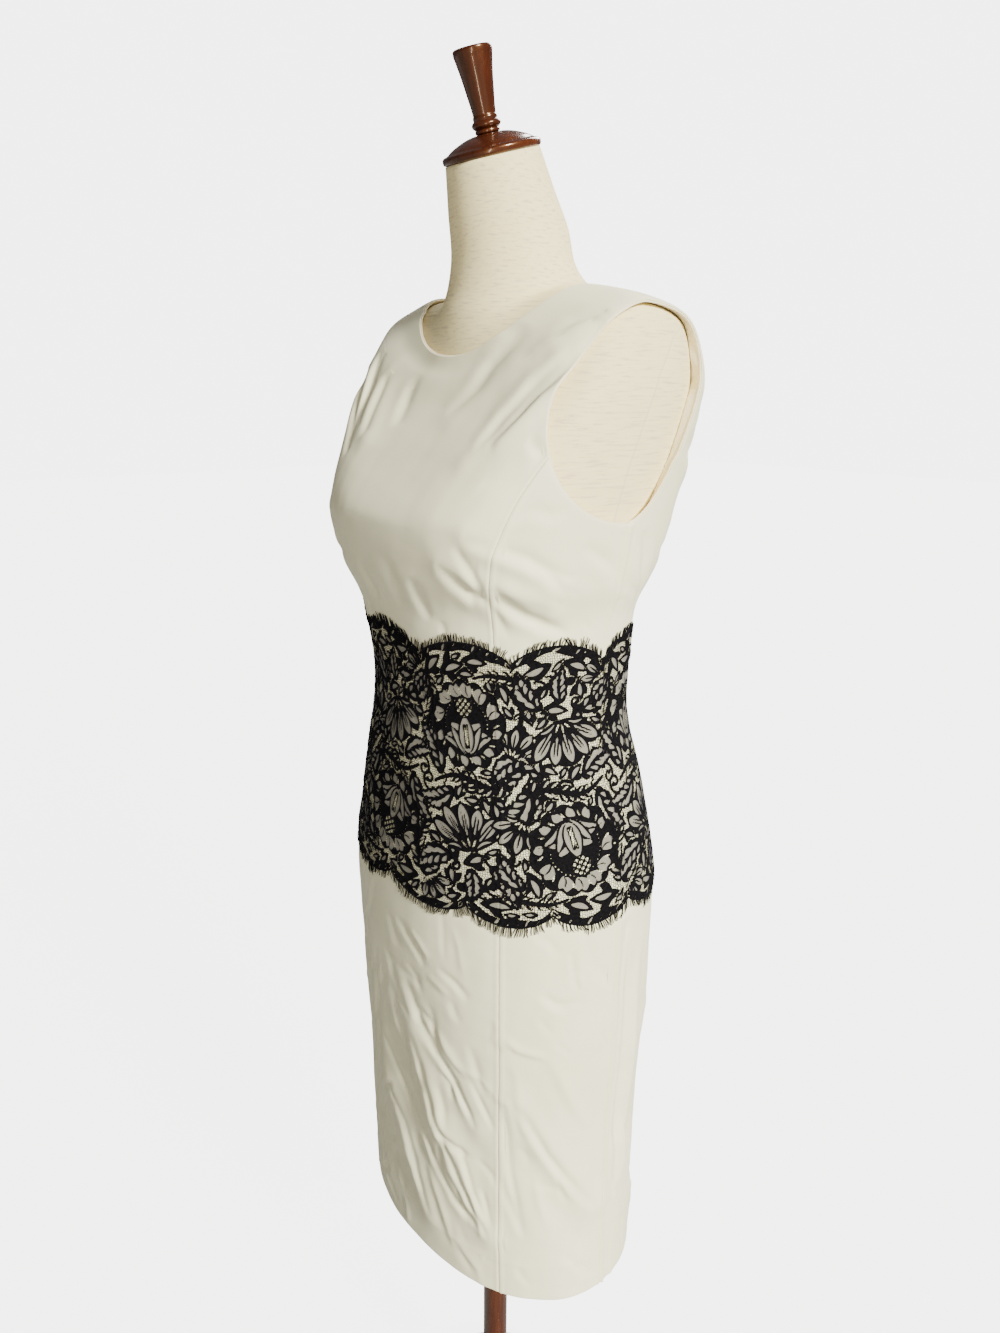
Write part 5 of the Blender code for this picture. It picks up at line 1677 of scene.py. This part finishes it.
woodwork = {
    # distance along the axis and radius, from which turnedPiece draws a smooth line
    "cap": [(0.0000, 0.0405), (0.0003, 0.0416), (0.0009, 0.0424), (0.0026, 0.0430), (0.0042, 0.0430),
            (0.0054, 0.0427), (0.0062, 0.0419), (0.0067, 0.0408), (0.0074, 0.0385), (0.0100, 0.0345),
            (0.0135, 0.0270), (0.0162, 0.0190), (0.0172, 0.0140), (0.0176, 0.0100)],
    "finial": [(0.0000, 0.0098), (0.0005, 0.0104), (0.0016, 0.0107), (0.0026, 0.0104), (0.0032, 0.0101),
               (0.0038, 0.0107), (0.0052, 0.0120), (0.0068, 0.0126), (0.0084, 0.0121), (0.0098, 0.0108),
               (0.0104, 0.0101), (0.0110, 0.0104), (0.0120, 0.0106), (0.0130, 0.0103), (0.0140, 0.0099),
               (0.0170, 0.0101), (0.0300, 0.0118), (0.0450, 0.0139), (0.0560, 0.0159), (0.0602, 0.0166),
               (0.0622, 0.0166), (0.0633, 0.0162), (0.0639, 0.0152), (0.0640, 0.0138)],
    "pole": [(0.0, 0.0140), (0.0010, 0.0140), (0.360, 0.0140), (0.7364, 0.0140), (0.7374, 0.0140)],
    "base": [(0.0000, 0.1420), (0.0010, 0.1440), (0.0030, 0.1450), (0.0090, 0.1450), (0.0140, 0.1450),
             (0.0162, 0.1444), (0.0185, 0.1420), (0.0200, 0.1380), (0.0213, 0.1320), (0.0222, 0.1200),
             (0.0235, 0.0800), (0.0248, 0.0580), (0.0270, 0.0420), (0.0300, 0.0330), (0.0330, 0.0280),
             (0.0380, 0.0245), (0.0410, 0.0236), (0.0420, 0.0226)],
    "capFoot": (0.0, -0.0126, 1.4922),
    "finialAlong": 0.0179,
    "poleFootZ": 0.0423,
    "segments": 96,
    "sharpFrom": 50,
}


def turnedPiece(name, profile, place, lean, material, nodes):
    bm = bmesh.new()
    line = smoothLine([(radius, along) for along, radius in profile], 4 * len(profile))
    points = [(0.0, profile[0][0]), *line.tolist(), (0.0, profile[-1][0])]
    verts = [bm.verts.new((radius, 0.0, along)) for radius, along in points]
    edges = [bm.edges.new(pair) for pair in zip(verts, verts[1:])]
    bmesh.ops.spin(bm, geom=verts + edges, cent=(0, 0, 0), axis=(0, 0, 1), angle=2 * math.pi,
                   steps=woodwork["segments"], use_merge=True, use_duplicate=False)
    bmesh.ops.remove_doubles(bm, verts=bm.verts, dist=mergeWithin)
    bmesh.ops.recalc_face_normals(bm, faces=bm.faces)
    standing = Matrix.Translation(place) @ Matrix.Rotation(math.radians(lean), 4, "X")
    bmesh.ops.transform(bm, matrix=standing, verts=bm.verts)
    piece = pieceFromMesh(name, bm)
    finishPiece(piece, material, nodes=nodes)
    piece.data.set_sharp_from_angle(angle=math.radians(woodwork["sharpFrom"]))


lean = formShape["neckLean"]
axis = Vector((0.0, -math.sin(math.radians(lean)), math.cos(math.radians(lean))))
capFoot = Vector(woodwork["capFoot"])
turnedPiece("neckCap", woodwork["cap"], capFoot, lean, leaningWood, ["neck_cap"])
finialFoot = capFoot + axis * woodwork["finialAlong"]
turnedPiece("capFinial", woodwork["finial"], finialFoot, lean, leaningWood, ["finial"])
poleFoot = Vector((0, 0, woodwork["poleFootZ"]))
turnedPiece("standPole", woodwork["pole"], poleFoot, 0, uprightWood, ["stand_pole"])
turnedPiece("standBase", woodwork["base"], Vector(), 0, uprightWood, ["stand_base"])
print("woodwork made")


# the zip's two small parts are the solids themselves, with metal on them
for node in ("zip_slider", "zip_pull_tab"):
    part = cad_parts[node]
    if not part.material_slots:
        part.data.materials.append(zipMetal)
    for slot in part.material_slots:
        slot.material = zipMetal


studio = {
    "floorSize": 14,
    "floor": [(0.2, 0.24), (0.8, 0.26)],
    "floorSeen": 4.6,
    "worldLight": 0.14,
    "worldSeen": 5.0,
    # a narrow soft box beside the camera, a wide light from the wearer's left, and a weaker one behind
    "softBox": {"place": (0.96, -0.90, 1.34), "aim": (0.0, 0.0, 1.30), "size": (0.06, 0.90), "watts": 6.5,
                "colour": (1.0, 0.93, 0.82)},
    "wideLight": {"azimuth": 87.0, "height": 27.0, "strength": 10.0, "angle": 14.0,
                  "colour": (1.0, 0.98, 0.90)},
    "backLight": {"azimuth": 205.0, "height": 34.0, "strength": 3.6, "angle": 28.0,
                  "colour": (1.0, 0.99, 0.96)},
    "camera": {"place": (0.7326, -0.6017, 1.3030), "azimuth": 50.6, "pitch": 15.83, "roll": 0.42,
               "lens": 26.8, "sensor": 36},
}


def seenOnly(graph, socket, light, seen):
    # a white floor and backdrop that light the cloth less than they seem to
    fromCamera = graph.add("LightPath", "Is Camera Ray", {})
    graph.plug(socket, graph.ranged(fromCamera, 0.0, 1.0, light, seen))


def setBackdrop():
    bm = bmesh.new()
    bmesh.ops.create_grid(bm, x_segments=2, y_segments=2, size=studio["floorSize"])
    floor = pieceFromMesh("floor", bm)
    material, graph, shader = newMaterial("paleFloor", {"Roughness": 0.95, "Specular IOR Level": 0.1})
    colour = graph.ramp(graph.noise(graph.place(onMap=False), 3.0, detail=2.0), studio["floor"])
    graph.plug(shader.inputs["Base Color"], colour)
    graph.plug(shader.inputs["Emission Color"], (1.0, 1.0, 1.0))
    seenOnly(graph, shader.inputs["Emission Strength"], 0.0, studio["floorSeen"])
    floor.data.materials.append(material)

    world = bpy.data.worlds.new("studio")
    bpy.context.scene.world = world
    world.use_nodes = True
    graph = Graph(world.node_tree)
    background = world.node_tree.nodes["Background"]
    graph.plug(background.inputs["Color"], (1.0, 1.0, 1.0))
    seenOnly(graph, background.inputs["Strength"], studio["worldLight"], studio["worldSeen"])


def hangLamp(name, kind, energy, colour, back, spot=(0, 0, 0)):
    # back is the way from what is lit to the lamp
    lamp = bpy.data.lights.new(name, kind)
    lamp.energy = energy
    lamp.color = colour
    holder = addObject(name, lamp)
    holder.location = spot
    holder.rotation_euler = Vector(back).to_track_quat("Z", "Y").to_euler()
    return lamp


def setLights():
    box = studio["softBox"]
    back = Vector(box["place"]) - Vector(box["aim"])
    lamp = hangLamp("softBox", "AREA", box["watts"], box["colour"], back, box["place"])
    lamp.shape = "RECTANGLE"
    lamp.size, lamp.size_y = box["size"]
    for name in ("wideLight", "backLight"):
        wide = studio[name]
        azimuth, height = math.radians(wide["azimuth"]), math.radians(wide["height"])
        level = math.cos(height)
        back = (math.sin(azimuth) * level, -math.cos(azimuth) * level, math.sin(height))
        lamp = hangLamp(name, "SUN", wide["strength"], wide["colour"], back)
        lamp.angle = math.radians(wide["angle"])


def setCamera():
    setting = studio["camera"]
    azimuth, pitch, roll = (math.radians(setting[key]) for key in ("azimuth", "pitch", "roll"))
    level = math.cos(pitch)
    forward = Vector((-math.sin(azimuth) * level, math.cos(azimuth) * level, -math.sin(pitch)))
    right = forward.cross(Vector((0, 0, 1))).normalized()
    up = right.cross(forward)
    tiltedRight = right * math.cos(roll) + up * math.sin(roll)
    tiltedUp = -right * math.sin(roll) + up * math.cos(roll)
    data = bpy.data.cameras.new("camera")
    data.lens = setting["lens"]
    data.sensor_width = setting["sensor"]
    camera = addObject("camera", data)
    turn = Matrix((tiltedRight, tiltedUp, -forward)).transposed().to_4x4()
    camera.matrix_world = Matrix.Translation(setting["place"]) @ turn
    bpy.context.scene.camera = camera


setBackdrop()
setLights()
setCamera()
print("floor, light and camera set")
